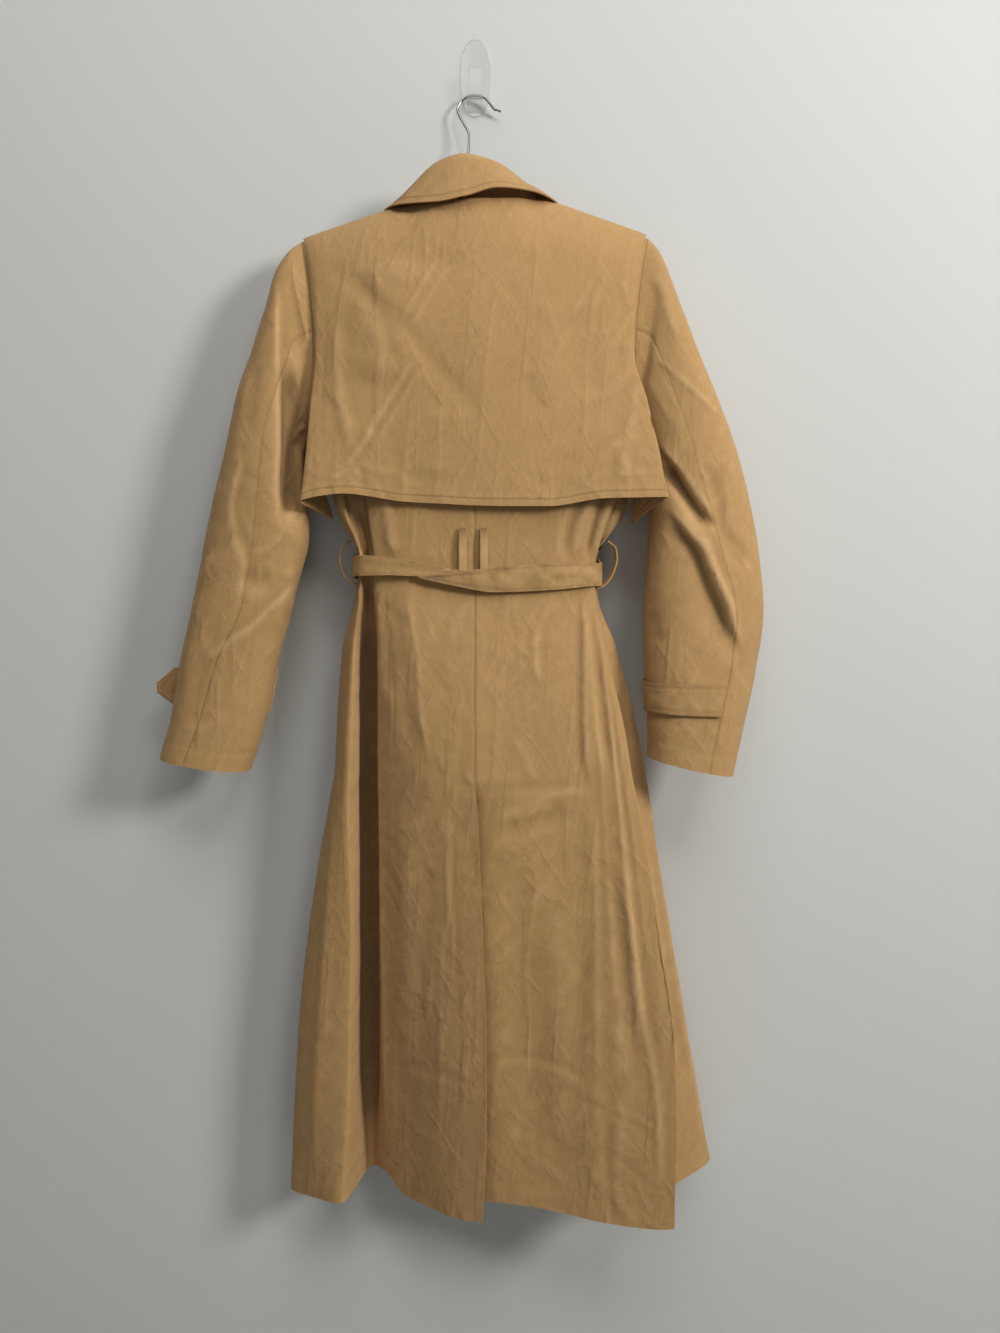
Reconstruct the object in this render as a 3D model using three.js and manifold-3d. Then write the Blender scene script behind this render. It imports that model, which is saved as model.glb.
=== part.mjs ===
// A trench coat that hangs, back outwards, from a hanger on a clear wall hook.
// Millimetres, +Z up, +X to the viewer's right. The wall is the plane y = 0 and the coat hangs at y < 0,
// so a place is given as x, off (its distance from the wall) and z. The origin is the centre of the wall
// hook's flat back.
import * as THREE from 'three';
import * as BufferGeometryUtils from 'three/addons/utils/BufferGeometryUtils.js';
import Module from 'manifold-3d';

// ---------- driving dimensions ----------

const cloth = 1.2;            // cotton twill, two layers at most
const seamGap = 0.4;          // between pieces at a seam
const shoulder = { x: 198, left: -197, right: -193, off: 48 };   // end of the shoulder seam
const neckSide = { x: 80, left: -160, right: -154, off: 50 };    // where the shoulder seam meets the collar
const neckBack = { z: -162, off: 77 };
const armpit = -408;          // height of the lowest point of the armhole
const armholeBulge = 27;      // how far the armhole stands out to the front and the back

const clothColour = 0xac8a5e;
const clothShade = 0xa18056;

// ---------- smooth curves through tables ----------

// Slopes of a monotone cubic through the values, so that a curve never swings past its table.
function slopes(at, values) {
  const step = (i) => (values[i + 1] - values[i]) / (at[i + 1] - at[i]);
  return values.map((value, i) => {
    if (i === 0) return step(0);
    if (i === values.length - 1) return step(i - 1);
    const before = step(i - 1);
    const after = step(i);
    return before * after <= 0 ? 0 : (2 * before * after) / (before + after);
  });
}

function curve(at, values, where) {
  const last = at.length - 1;
  const rising = at[last] > at[0];
  let i = 0;
  while (i < last - 1 && (rising ? where > at[i + 1] : where < at[i + 1])) i += 1;
  const m = slopes(at, values);
  const width = at[i + 1] - at[i];
  const t = THREE.MathUtils.clamp((where - at[i]) / width, 0, 1);
  const from = (1 + 2 * t) * (1 - t) ** 2 * values[i] + t * (1 - t) ** 2 * width * m[i];
  const to = t * t * (3 - 2 * t) * values[i + 1] + t * t * (t - 1) * width * m[i + 1];
  return from + to;
}

const spread = (count, from = 0, to = 1) =>
  Array.from({ length: count + 1 }, (unused, i) => from + ((to - from) * i) / count);

const place = (x, off, z) => new THREE.Vector3(x, -off, z);

// ---------- the body of the coat ----------
// Each row is a fold line that runs from the shoulder or neck seam down to the hem. Its columns are the
// levels below, and hem is the height at which the line ends.

const levels = [-160, -232, -330, -420, -495, -562, -605, -660, -760, -815, -850, -1000, -1120, -1230, -1342];

const backLeft = [
  { line: 'side seam', hem: -1346,
    x: [-198, -190, -183, -185, -164, -136, -140, -152, -162, -166, -170, -183, -193, -200, -203],
    off: [48, 68, 74, 54, 66, 74, 75, 79, 84, 86, 88, 92, 96, 98, 98] },
  { line: 'side fold', hem: -1341,
    x: [-168, -160, -154, -164, -152, -132, -134, -141, -147, -150, -152, -150, -154, -158, -166],
    off: [50, 78, 84, 78, 82, 86, 88, 92, 96, 98, 98, 100, 104, 108, 115] },
  { line: 'deep pleat', hem: -1339,
    x: [-140, -134, -130, -139, -135, -125, -124, -124, -125, -127, -128, -131, -133, -135, -138],
    off: [50, 83, 90, 86, 72, 66, 62, 59, 56, 54, 52, 49, 47, 45, 45] },
  { line: 'pleat edge', hem: -1328,
    x: [-115, -112, -110, -120, -121, -118, -117, -116, -117, -119, -119, -119, -119, -119, -116],
    off: [50, 86, 94, 92, 92, 88, 88, 86, 82, 80, 78, 75, 73, 71, 72] },
  { line: 'quarter', hem: -1347,
    x: [-88, -86, -85, -92, -96, -98, -97, -95, -92, -90, -88, -86, -84, -82, -82],
    off: [52, 88, 96, 96, 97, 94, 96, 100, 104, 102, 101, 98, 97, 97, 98] },
  { line: 'pressed fold', hem: -1347,
    x: [-45, -50, -55, -60, -68, -76, -74, -68, -58, -50, -44, -42, -42, -41, -40],
    off: [70, 90, 98, 99, 99, 97, 100, 108, 116, 117, 117, 119, 121, 123, 127] },
  { line: 'centre back', hem: -1342,
    x: [0, 0, 0, 0, 0, 0, 0, 0, 0, 0, 3, 9, 13, 13, 8],
    off: [77, 91, 100, 101, 99, 98, 101, 110, 122, 125, 127, 134, 140, 146, 150] },
];

const backRight = [
  { line: 'vent lap', hem: -1344,
    x: [0, 0, 0, 0, 0, 0, 0, 0, 0, 0, -28, -28, -28, -28, -30],
    off: [77, 91, 100, 101, 99, 98, 101, 110, 121, 121, 115, 114, 111, 106, 102] },
  { line: 'near the vent', hem: -1344,
    x: [38, 38, 39, 42, 42, 40, 40, 42, 42, 42, 40, 42, 46, 50, 56],
    off: [71, 90, 98, 99, 98, 97, 100, 107, 115, 117, 117, 115, 112, 112, 116] },
  { line: 'quarter', hem: -1347,
    x: [80, 76, 78, 84, 86, 84, 85, 88, 92, 94, 95, 100, 104, 106, 110],
    off: [52, 88, 96, 97, 97, 94, 97, 104, 111, 112, 113, 115, 118, 122, 128] },
  { line: 'soft fold', hem: -1349,
    x: [120, 116, 118, 126, 126, 118, 119, 123, 130, 134, 138, 144, 145, 147, 155],
    off: [50, 85, 92, 92, 93, 88, 91, 99, 108, 111, 113, 121, 128, 134, 141] },
  { line: 'ridge', hem: -1348,
    x: [150, 146, 146, 156, 153, 132, 134, 143, 158, 164, 169, 185, 199, 205, 200],
    off: [50, 80, 87, 86, 89, 84, 87, 96, 107, 112, 115, 127, 137, 145, 152] },
  { line: 'fold edge', hem: -1342,
    x: [172, 167, 163, 174, 169, 139, 141, 152, 175, 184, 192, 216, 233, 236, 234],
    off: [50, 75, 82, 72, 78, 79, 81, 88, 102, 108, 112, 128, 141, 151, 160] },
  { line: 'side seam, in the fold', hem: -1339,
    x: [198, 190, 184, 186, 178, 141, 141, 148, 169, 178, 186, 208, 223, 226, 223],
    off: [48, 68, 74, 54, 62, 68, 67, 68, 74, 77, 79, 86, 93, 99, 104] },
];

// The fronts share the side seams with the back, below the armpit.
const frontSeam = (row) => ({ ...row, off: [48, 28, 22, ...row.off.slice(3)] });

const frontRight = [
  frontSeam(backRight[6]),
  { line: 'side', hem: -1318,
    x: [178, 176, 172, 184, 180, 143, 146, 167, 194, 205, 211, 238, 259, 277, 296],
    off: [48, 27, 23, 38, 48, 54, 54, 54, 54, 54, 54, 56, 58, 60, 60] },
  { line: 'turn', hem: -1334,
    x: [150, 150, 144, 158, 156, 127, 131, 147, 172, 182, 188, 210, 230, 244, 254],
    off: [48, 25, 20, 20, 24, 34, 33, 28, 22, 20, 20, 18, 18, 18, 18] },
  { line: 'middle', hem: -1340,
    x: [112, 96, 84, 72, 70, 62, 64, 70, 80, 84, 86, 96, 104, 110, 114],
    off: [49, 22, 17, 16, 21, 29, 28, 22, 17, 15, 15, 14, 14, 14, 14] },
  { line: 'front edge', hem: -1342,
    x: [82, 54, 6, -62, -85, -85, -85, -85, -85, -85, -85, -85, -85, -85, -85],
    off: [50, 20, 14, 12, 18, 27, 25, 18, 13, 12, 12, 11, 11, 11, 11] },
];

const frontLeft = [
  { line: 'front edge', hem: -1336,
    x: [-82, -54, -6, 62, 85, 85, 85, 85, 85, 85, 85, 85, 85, 85, 85],
    off: [50, 24, 20, 20, 26, 35, 33, 26, 21, 20, 20, 19, 19, 19, 19] },
  { line: 'middle', hem: -1338,
    x: [-112, -96, -84, -72, -70, -62, -64, -70, -80, -84, -86, -92, -96, -100, -104],
    off: [49, 24, 20, 20, 26, 35, 33, 27, 22, 20, 20, 19, 19, 19, 19] },
  { line: 'turn', hem: -1344,
    x: [-150, -150, -144, -156, -148, -122, -126, -136, -146, -152, -158, -180, -194, -202, -208],
    off: [48, 25, 21, 22, 28, 38, 37, 32, 27, 25, 24, 22, 21, 20, 20] },
  { line: 'side', hem: -1350,
    x: [-178, -176, -172, -182, -164, -137, -143, -158, -167, -171, -178, -205, -220, -229, -236],
    off: [48, 27, 23, 38, 50, 58, 58, 60, 62, 62, 62, 64, 66, 68, 70] },
  frontSeam(backLeft[0]),
];

const topLevel = levels[0];
const yokeLevel = levels[1];
const calfLevel = levels[levels.length - 2];
const hemLevel = levels[levels.length - 1];

// The armhole is an upright loop from the end of the shoulder seam down to the armpit and back.
// Its angle is 0 at the shoulder, a quarter turn at the back and half a turn at the armpit.
function armhole(side, angle) {
  const top = side < 0 ? shoulder.left : shoulder.right;
  const z = (top + armpit) / 2 + ((top - armpit) / 2) * Math.cos(angle);
  const x = curve([top, -232, -290, -350, armpit], [198, 190.5, 184, 182.5, 185.5], z);
  return place(side * x, shoulder.off + 6 * Math.sin(angle / 2) ** 2 + armholeBulge * Math.sin(angle), z);
}

// The height of the seam that ends a panel at its top: the back neck, or the shoulder seam.
function topSeam(x, isBack) {
  const side = x < 0 ? 'left' : 'right';
  const across = Math.abs(x);
  if (isBack && across < neckSide.x) {
    return neckBack.z + (neckSide[side] - neckBack.z) * (across / neckSide.x) ** 2;
  }
  const along = (across - neckSide.x) / (shoulder.x - neckSide.x);
  return neckSide[side] + (shoulder[side] - neckSide[side]) * Math.max(along, 0);
}

// A point of a panel. line counts its fold lines, and level is a height that bends to the top seam and
// the hem.
function panelPoint(lines, line, level, isBack) {
  const order = lines.map((unused, i) => i);
  const at = (row, column) => curve(levels, row[column], level);
  const x = curve(order, lines.map((row) => at(row, 'x')), line);
  const off = curve(order, lines.map((row) => at(row, 'off')), line);
  const hem = curve(order, lines.map((row) => row.hem), line);
  let z = level;
  if (level > yokeLevel) {
    const down = (level - topLevel) / (yokeLevel - topLevel);
    const top = topSeam(x, isBack);
    // A rounded shoulder: level at the seam, steep at the yoke.
    z = top + (yokeLevel - top) * down ** 1.6;
  } else if (level < calfLevel) {
    z = calfLevel + (hem - calfLevel) * ((level - calfLevel) / (hemLevel - calfLevel));
  }
  return place(x, off, z);
}

// The point of the armhole's loop at a height, on its back or its front half.
function armholeAt(side, isBack, z) {
  const top = side < 0 ? shoulder.left : shoulder.right;
  const angle = Math.acos(THREE.MathUtils.clamp((2 * z - top - armpit) / (top - armpit), -1, 1));
  return armhole(side, isBack ? angle : -angle);
}

// ---------- solids ----------

function meshFrom(points, faces) {
  const geometry = new THREE.BufferGeometry();
  geometry.setAttribute('position', new THREE.Float32BufferAttribute(points.flatMap((p) => p.toArray()), 3));
  geometry.setIndex(faces.flat());
  let volume = 0;
  for (const [a, b, c] of faces) {
    volume += points[a].dot(new THREE.Vector3().crossVectors(points[b], points[c]));
  }
  if (volume < 0) geometry.setIndex(faces.flatMap(([a, b, c]) => [a, c, b]));
  geometry.computeVertexNormals();
  return geometry;
}

// Unit normals of a grid of points. before and after are the columns next to it in a neighbouring piece, so
// that both pieces have the same normals along their seam.
function gridNormals(grid, { before, after } = {}) {
  const rows = grid.length;
  const columns = grid[0].length;
  return grid.map((row, i) => row.map((unused, j) => {
    const left = j > 0 ? row[j - 1] : (before ? before[i] : row[j]);
    const right = j < columns - 1 ? row[j + 1] : (after ? after[i] : row[j]);
    const down = grid[Math.min(i + 1, rows - 1)][j].clone().sub(grid[Math.max(i - 1, 0)][j]);
    return down.cross(right.clone().sub(left)).normalize();
  }));
}

function movedOut(grid, distance, neighbours) {
  const normals = gridNormals(grid, neighbours);
  return grid.map((row, i) => row.map((point, j) => point.clone().addScaledVector(normals[i][j], distance)));
}

// A wall of cloth: the grid is its outer face, and the wall lies on the inner side of it.
function wall(grid, neighbours, thickness = cloth) {
  const inner = movedOut(grid, -thickness, neighbours);
  const rows = grid.length;
  const columns = grid[0].length;
  const points = [...grid.flat(), ...inner.flat()];
  const outerAt = (i, j) => i * columns + j;
  const innerAt = (i, j) => rows * columns + i * columns + j;
  const faces = [];
  const quad = (a, b, c, d) => faces.push([a, b, c], [a, c, d]);
  for (let i = 0; i < rows - 1; i += 1) {
    for (let j = 0; j < columns - 1; j += 1) {
      quad(outerAt(i, j), outerAt(i + 1, j), outerAt(i + 1, j + 1), outerAt(i, j + 1));
      quad(innerAt(i, j), innerAt(i, j + 1), innerAt(i + 1, j + 1), innerAt(i + 1, j));
    }
  }
  for (let i = 0; i < rows - 1; i += 1) {
    quad(outerAt(i, 0), innerAt(i, 0), innerAt(i + 1, 0), outerAt(i + 1, 0));
    quad(
      outerAt(i + 1, columns - 1), innerAt(i + 1, columns - 1),
      innerAt(i, columns - 1), outerAt(i, columns - 1),
    );
  }
  for (let j = 0; j < columns - 1; j += 1) {
    quad(outerAt(0, j + 1), innerAt(0, j + 1), innerAt(0, j), outerAt(0, j));
    quad(outerAt(rows - 1, j), innerAt(rows - 1, j), innerAt(rows - 1, j + 1), outerAt(rows - 1, j + 1));
  }
  return meshFrom(points, faces);
}

const coat = new THREE.Group();

function add(name, geometry, material) {
  const mesh = new THREE.Mesh(geometry, material);
  mesh.name = name;
  coat.add(mesh);
  return mesh;
}

const fabric = (color = clothColour) => (
  new THREE.MeshStandardMaterial({ color, roughness: 0.9, metalness: 0 }));

const rowLevels = [
  -160, -170, -188, -208, -232, -280, -345, -408, -450, -495, -530, -550, -570, -592, -620,
  -675, -735, -785, -815, -850, -940, -1040, -1140, -1240, -1342,
];

// Moves the ends of a row or column of points in, so that neighbours lie a seam's gap apart.
function trimmed(points) {
  const last = points.length - 1;
  const nudge = (from, to) => from.clone().add(to.clone().sub(from).setLength(seamGap / 2));
  return points.map((point, i) => {
    if (i === 0) return nudge(point, points[1]);
    if (i === last) return nudge(point, points[last - 1]);
    return point;
  });
}

// A grid whose four edges are all moved in by half a seam's gap.
function trimmedGrid(grid) {
  const columns = grid[0].map((unused, j) => trimmed(grid.map((row) => row[j])));
  return grid.map((unused, i) => trimmed(columns.map((column) => column[i])));
}

// The outer face of a panel: a row of points for each level, and so many columns between two fold lines.
function panelGrid({ lines, isBack, side, seamFirst, between }) {
  const seamLine = seamFirst ? 0 : lines.length - 1;
  const sideSeam = (level) => (side < 0 ? panelPoint(backLeft, 0, level) : panelPoint(backRight, 6, level));
  const places = spread((lines.length - 1) * between, 0, lines.length - 1);
  return trimmedGrid(rowLevels.map((level) => places.map((line) => {
    const point = panelPoint(lines, line, level, isBack);
    if (line !== seamLine) return point;
    return point.z >= armpit ? armholeAt(side, isBack, point.z) : sideSeam(level);
  })));
}

const panels = {
  back_left: { lines: backLeft, isBack: true, side: -1, seamFirst: true, between: 2 },
  back_right: { lines: backRight, isBack: true, side: 1, seamFirst: false, between: 2 },
  front_right: { lines: frontRight, isBack: false, side: 1, seamFirst: true, between: 2 },
  front_left: { lines: frontLeft, isBack: false, side: -1, seamFirst: false, between: 2 },
};
const grids = Object.fromEntries(Object.entries(panels).map(([name, panel]) => [name, panelGrid(panel)]));
const secondColumn = (name) => grids[name].map((row) => row[1]);
const lastButOne = (name) => grids[name].map((row) => row[row.length - 2]);
add('back_left', wall(grids.back_left, { before: lastButOne('front_left') }), fabric());
add('back_right', wall(grids.back_right, { after: secondColumn('front_right') }), fabric());
add('front_right', wall(grids.front_right, { before: lastButOne('back_right') }), fabric());
add('front_left', wall(grids.front_left, { after: secondColumn('back_left') }), fabric());

// ---------- storm flap ----------
// It lies over the shoulder blades. Its ends are sewn into the armholes above the free line, and below it
// they hang free and turn in towards the fronts.

const flapLevels = [-160, -232, -321, -383, -430, -495];
const flapHemLevel = flapLevels[flapLevels.length - 1];
const flapFree = -321;

const flapLines = [
  { line: 'left end', hem: -512,
    x: [-197, -189, -181.5, -185, -186, -168], off: [50, 71.5, 80, 74, 67, 55] },
  { line: 'left return', hem: -502,
    x: [-192, -186, -181, -187, -190, -186], off: [51, 75, 83, 84, 84, 80] },
  { line: 'left fold', hem: -494,
    x: [-184, -179, -178, -185, -189, -196], off: [52, 79, 87, 93, 99, 106] },
  { line: 'left quarter', hem: -485,
    x: [-130, -128, -128, -134, -140, -146], off: [53, 88, 98, 101, 105, 110] },
  { line: 'left blade', hem: -494,
    x: [-84, -80, -78, -78, -79, -80], off: [54, 93, 103, 105, 107, 108] },
  { line: 'left neck', hem: -496,
    x: [-45, -44, -42, -41, -40, -42], off: [74, 96, 105, 107, 108, 109] },
  { line: 'centre', hem: -498,
    x: [0, 0, 2, 0, -2, -4], off: [81, 98, 107, 108, 109, 109] },
  { line: 'right neck', hem: -499,
    x: [44, 42, 40, 39, 38, 40], off: [74, 96, 104, 106, 108, 109] },
  { line: 'right blade', hem: -499,
    x: [82, 78, 76, 78, 82, 86], off: [54, 93, 102, 104, 106, 109] },
  { line: 'right quarter', hem: -490,
    x: [130, 128, 128, 136, 142, 150], off: [53, 88, 96, 99, 104, 111] },
  { line: 'right fold', hem: -489,
    x: [184, 179, 178, 196, 206, 218], off: [52, 79, 87, 93, 100, 109] },
  { line: 'right return', hem: -502,
    x: [192, 186, 181, 191, 198, 201], off: [51, 75, 83, 84, 87, 88] },
  { line: 'right end', hem: -519,
    x: [197, 189, 181.5, 185, 187, 184], off: [50, 71.5, 80, 73, 68, 62] },
];

function flapPoint(line, level) {
  const order = flapLines.map((unused, i) => i);
  const x = curve(order, flapLines.map((row) => curve(flapLevels, row.x, level)), line);
  const off = curve(order, flapLines.map((row) => curve(flapLevels, row.off, level)), line);
  const hem = curve(order, flapLines.map((row) => row.hem), line);
  let z = level;
  if (level > yokeLevel) {
    const top = topSeam(x, true);
    z = top + 3 + (yokeLevel - top - 3) * ((level - topLevel) / (yokeLevel - topLevel)) ** 1.6;
  } else if (level < flapFree) {
    z = flapFree + (hem - flapFree) * ((level - flapFree) / (flapHemLevel - flapFree));
  }
  return place(x, off, z);
}

const flapRows = [-160, -170, -188, -208, -232, -275, -321, -360, -400, -435, -468, -495];
const flapPlaces = spread(21, 0, flapLines.length - 1);
add('storm_flap', wall(flapRows.map((level) => flapPlaces.map((line) => flapPoint(line, level)))), fabric());

// ---------- collar ----------
// Stations run round the neck from the left front to the right front. The fall folds over at fold and ends at
// edge, and the stand rises inside it from the neck seam.

const collarStations = [
  { at: 'left point', fold: [-40, 20, -188], edge: [-92, 8, -236], seam: [-46, 23, -196] },
  { at: 'left front', fold: [-62, 30, -158], edge: [-112, 14, -190], seam: [-66, 32, -171] },
  { at: 'left side', fold: [-70, 46, -146], edge: [-104, 46, -161], seam: [-76, 47, -156.5] },
  { at: 'left back', fold: [-62, 62, -134], edge: [-88, 72, -163], seam: [-66, 62, -157.5] },
  { at: 'back, left of centre', fold: [-40, 71, -117], edge: [-42, 92, -166], seam: [-36, 71, -158.5] },
  { at: 'centre back', fold: [-12, 74, -110], edge: [-8, 97, -161], seam: [-6, 75, -160] },
  { at: 'back, right of centre', fold: [24, 72, -118], edge: [26, 96, -152], seam: [34, 71, -157.5] },
  { at: 'right back', fold: [60, 60, -139], edge: [62, 84, -151], seam: [66, 62, -153.5] },
  { at: 'right side', fold: [72, 44, -143], edge: [96, 48, -153], seam: [76, 46, -151] },
  { at: 'right front', fold: [64, 28, -162], edge: [106, 14, -180], seam: [66, 30, -169] },
  { at: 'right point', fold: [42, 16, -190], edge: [92, 6, -232], seam: [46, 22, -196] },
];

function roundNeck(where, part) {
  const order = collarStations.map((unused, i) => i);
  const along = (axis) => curve(order, collarStations.map((station) => station[part][axis]), where);
  return place(along(0), along(1), along(2));
}

// Across the fall: it rises out of the fold, rounds over it and runs down to its edge.
function fallPoint(where, down) {
  const fold = roundNeck(where, 'fold');
  const edge = roundNeck(where, 'edge');
  const point = fold.clone().lerp(edge, down);
  const proud = 4 * Math.sin(Math.PI * Math.sqrt(down));
  return point.add(new THREE.Vector3(0, -0.5 * proud, 0.6 * proud));
}

const collarPlaces = spread(22, 0, collarStations.length - 1);
const fallGrid = spread(5).map((down) => collarPlaces.map((where) => fallPoint(where, down)));
add('collar_fall', wall(fallGrid), fabric());

const standDrop = 2.5;        // the stand ends this far under the fold
const standInset = 2;         // and this far inside it
const standGrid = movedOut(spread(2).map((down) => collarPlaces.map((where) => {
  const top = roundNeck(where, 'fold').add(new THREE.Vector3(0, 0, -standDrop));
  return top.lerp(roundNeck(where, 'seam'), down);
})), -standInset);
add('collar_stand', wall(standGrid), fabric(clothShade));

// ---------- sleeves ----------
// Each row is a ring round the sleeve: its outer and inner edge in the plane of the wall, and how deep it is.

const sleeveLeft = [
  { outer: [-211, -207], inner: [-186.5, -409], off: 50, deep: 30 },
  { outer: [-228, -232], inner: [-188, -411], off: 52, deep: 34 },
  { outer: [-239, -270], inner: [-191, -416], off: 53, deep: 37 },
  { outer: [-254, -315], inner: [-196, -426], off: 55, deep: 39 },
  { outer: [-272, -362], inner: [-200, -440], off: 57, deep: 40 },
  { outer: [-292, -441], inner: [-200, -478], off: 60, deep: 40 },
  { outer: [-312, -517], inner: [-196, -528], off: 63, deep: 39 },
  { outer: [-332, -608], inner: [-214, -604], off: 66, deep: 37 },
  { outer: [-350, -683], inner: [-235, -682], off: 69, deep: 36 },
  { outer: [-362, -745], inner: [-251, -752], off: 72, deep: 36 },
  { outer: [-375, -793], inner: [-270, -809], off: 75, deep: 36 },
];

const sleeveRight = [
  { outer: [209, -205], inner: [187, -409], off: 50, deep: 30 },
  { outer: [222, -232], inner: [189, -411], off: 52, deep: 34 },
  { outer: [238, -272], inner: [192, -416], off: 53, deep: 37 },
  { outer: [258, -322], inner: [196, -428], off: 55, deep: 39 },
  { outer: [280, -372], inner: [200, -446], off: 57, deep: 40 },
  { outer: [300, -424], inner: [203, -474], off: 60, deep: 40 },
  { outer: [318, -484], inner: [204, -512], off: 63, deep: 40 },
  { outer: [331, -550], inner: [202, -562], off: 67, deep: 40 },
  { outer: [338, -620], inner: [199, -628], off: 71, deep: 40 },
  { outer: [329, -690], inner: [200, -690], off: 78, deep: 38 },
  { outer: [318, -742], inner: [203, -738], off: 84, deep: 36 },
  { outer: [304, -812], inner: [204, -790], off: 88, deep: 34 },
];

const squareness = 0.86;      // below 1 the ring is fuller than an ellipse

// Where the two sleeve seams run, in turns from the outer edge. The back one moves outwards towards the cuff.
const frontSeamTurn = 0.69;
const backSeamTurn = {
  left: { ring: [0, 7, 8, 9, 10, 11], turn: [0.25, 0.255, 0.262, 0.232, 0.215, 0.2] },
  right: { ring: [0, 6, 8, 9, 10, 11, 12], turn: [0.25, 0.25, 0.22, 0.19, 0.187, 0.199, 0.207] },
};

// Ring 0 is the armhole itself, and the table's rows follow it.
function sleevePoint(rows, side, ring, turn) {
  const angle = turn * 2 * Math.PI;
  const head = armhole(side, angle);
  head.x += side * seamGap;
  const bend = (value) => Math.sign(value) * Math.abs(value) ** squareness;
  const across = (1 - bend(Math.cos(angle))) / 2;
  const out = bend(Math.sin(angle));
  const ringPoint = (row) => place(
    row.outer[0] + (row.inner[0] - row.outer[0]) * across,
    row.off + row.deep * out,
    row.outer[1] + (row.inner[1] - row.outer[1]) * across,
  );
  const points = [head, ...rows.map(ringPoint)];
  const order = points.map((unused, i) => i);
  const along = (axis) => curve(order, points.map((point) => point[axis]), ring);
  return new THREE.Vector3(along('x'), along('y'), along('z'));
}

// from and to give the turns at which each ring's part starts and ends.
function sleeveGrid(rows, side, from, to, count, rings = spread(rows.length + 2, 0, rows.length)) {
  return rings.map((ring) => {
    const turns = spread(count, from(ring), to(ring));
    return (side < 0 ? turns : turns.reverse()).map((turn) => sleevePoint(rows, side, ring, turn));
  });
}

function addSleeve(name, rows, side) {
  const back = (ring) => curve(backSeamTurn[name].ring, backSeamTurn[name].turn, ring);
  const top = sleeveGrid(rows, side, () => frontSeamTurn - 1, back, 10);
  const under = sleeveGrid(rows, side, back, () => frontSeamTurn, 9);
  const column = (grid, back) => grid.map((row) => row[back ? row.length - 2 : 1]);
  const topNeighbours = { before: column(under, true), after: column(under, false) };
  const underNeighbours = { before: column(top, true), after: column(top, false) };
  add(`sleeve_${name}_top`, wall(top.map(trimmed), topNeighbours), fabric());
  add(`sleeve_${name}_under`, wall(under.map(trimmed), underNeighbours), fabric(clothShade));
}
addSleeve('left', sleeveLeft, -1);
addSleeve('right', sleeveRight, 1);

// ---------- cuff straps ----------

const strapGap = 1;         // the strap's inner face to the sleeve
const strap = {
  left: { top: 9.1, bottom: 9.85, from: 0.55, to: 0.9, tip: [-381, 66, -711], neck: [-364, 52] },
  right: { top: 10.2, bottom: 10.95, from: 0.2, to: 0.7 },
};

function addStrap(name, rows, side) {
  const { top, bottom, from, to, tip, neck } = strap[name];
  const rings = spread(3, top, bottom);
  const grid = movedOut(sleeveGrid(rows, side, () => from, () => to, 12, rings), strapGap + cloth);
  if (tip) {
    // The free end stands off the sleeve and comes to a point.
    grid.forEach((row, i) => {
      const z = row[row.length - 1].z;
      row.push(place(neck[0], neck[1], z));
      row.push(place(tip[0], tip[1], tip[2] + (z - tip[2]) * 0.25));
    });
  }
  add(`cuff_strap_${name}`, wall(grid), fabric());
}
addStrap('left', sleeveLeft, -1);
addStrap('right', sleeveRight, 1);

// ---------- belt and its loops ----------
// Stations run from the end at the front, round the right side and the back, to the other end.

const beltCloth = 2.2;        // a tube of cloth pressed flat
const beltStations = [
  { at: 'right end', x: -66, off: 16, top: -550, bottom: -586 },
  { at: 'front', x: 40, off: 18, top: -550, bottom: -586 },
  { at: 'front, right', x: 118, off: 26, top: -552, bottom: -587 },
  { at: 'right side', x: 147.6, off: 46, top: -558, bottom: -590 },
  { at: 'right side', x: 148.5, off: 70, top: -564, bottom: -590 },
  { at: 'back, right', x: 134, off: 91, top: -563, bottom: -590 },
  { at: 'back, right', x: 84, off: 102, top: -564, bottom: -594 },
  { at: 'centre back', x: 24, off: 106, top: -568, bottom: -596 },
  { at: 'twist', x: -22, off: 107, top: -571, bottom: -588 },
  { at: 'twist', x: -64, off: 105, top: -561, bottom: -578 },
  { at: 'back, left', x: -104, off: 100, top: -556, bottom: -577 },
  { at: 'back, left', x: -132, off: 91, top: -554, bottom: -578 },
  { at: 'left side', x: -142.5, off: 73, top: -555, bottom: -580 },
  { at: 'left side', x: -141, off: 46, top: -553, bottom: -583 },
  { at: 'front, left', x: -112, off: 26, top: -552, bottom: -585 },
  { at: 'left end', x: -20, off: 21.5, top: -551, bottom: -585 },
];
const beltOrder = beltStations.map((unused, i) => i);
const beltAt = (where, key) => curve(beltOrder, beltStations.map((station) => station[key]), where);
const beltPlaces = spread(45, beltStations.length - 1, 0);
const beltGrid = spread(1).map((down) => beltPlaces.map((where) => {
  const top = beltAt(where, 'top');
  return place(beltAt(where, 'x'), beltAt(where, 'off'), top + (beltAt(where, 'bottom') - top) * down);
}));
add('belt', wall(beltGrid, undefined, beltCloth), fabric());

// The fold line, counted with its fraction, on which a panel has a given x at a level.
function lineAt(lines, x, level, isBack) {
  const rising = lines[lines.length - 1].x[5] > lines[0].x[5];
  let low = 0;
  let high = lines.length - 1;
  for (let i = 0; i < 30; i += 1) {
    const middle = (low + high) / 2;
    if ((panelPoint(lines, middle, level, isBack).x < x) === rising) low = middle;
    else high = middle;
  }
  return low;
}

const onPanel = (lines, x, level, isBack) => (
  panelPoint(lines, lineAt(lines, x, level, isBack), level, isBack));

// The outward direction of a panel at a point, from its neighbours a few millimetres away.
function outwardAt(lines, line, level, isBack) {
  const around = [4, 0, -4].map((up) => [-0.1, 0, 0.1].map((across) => (
    panelPoint(lines, line + across, level + up, isBack))));
  return gridNormals(around)[1][1];
}

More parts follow.
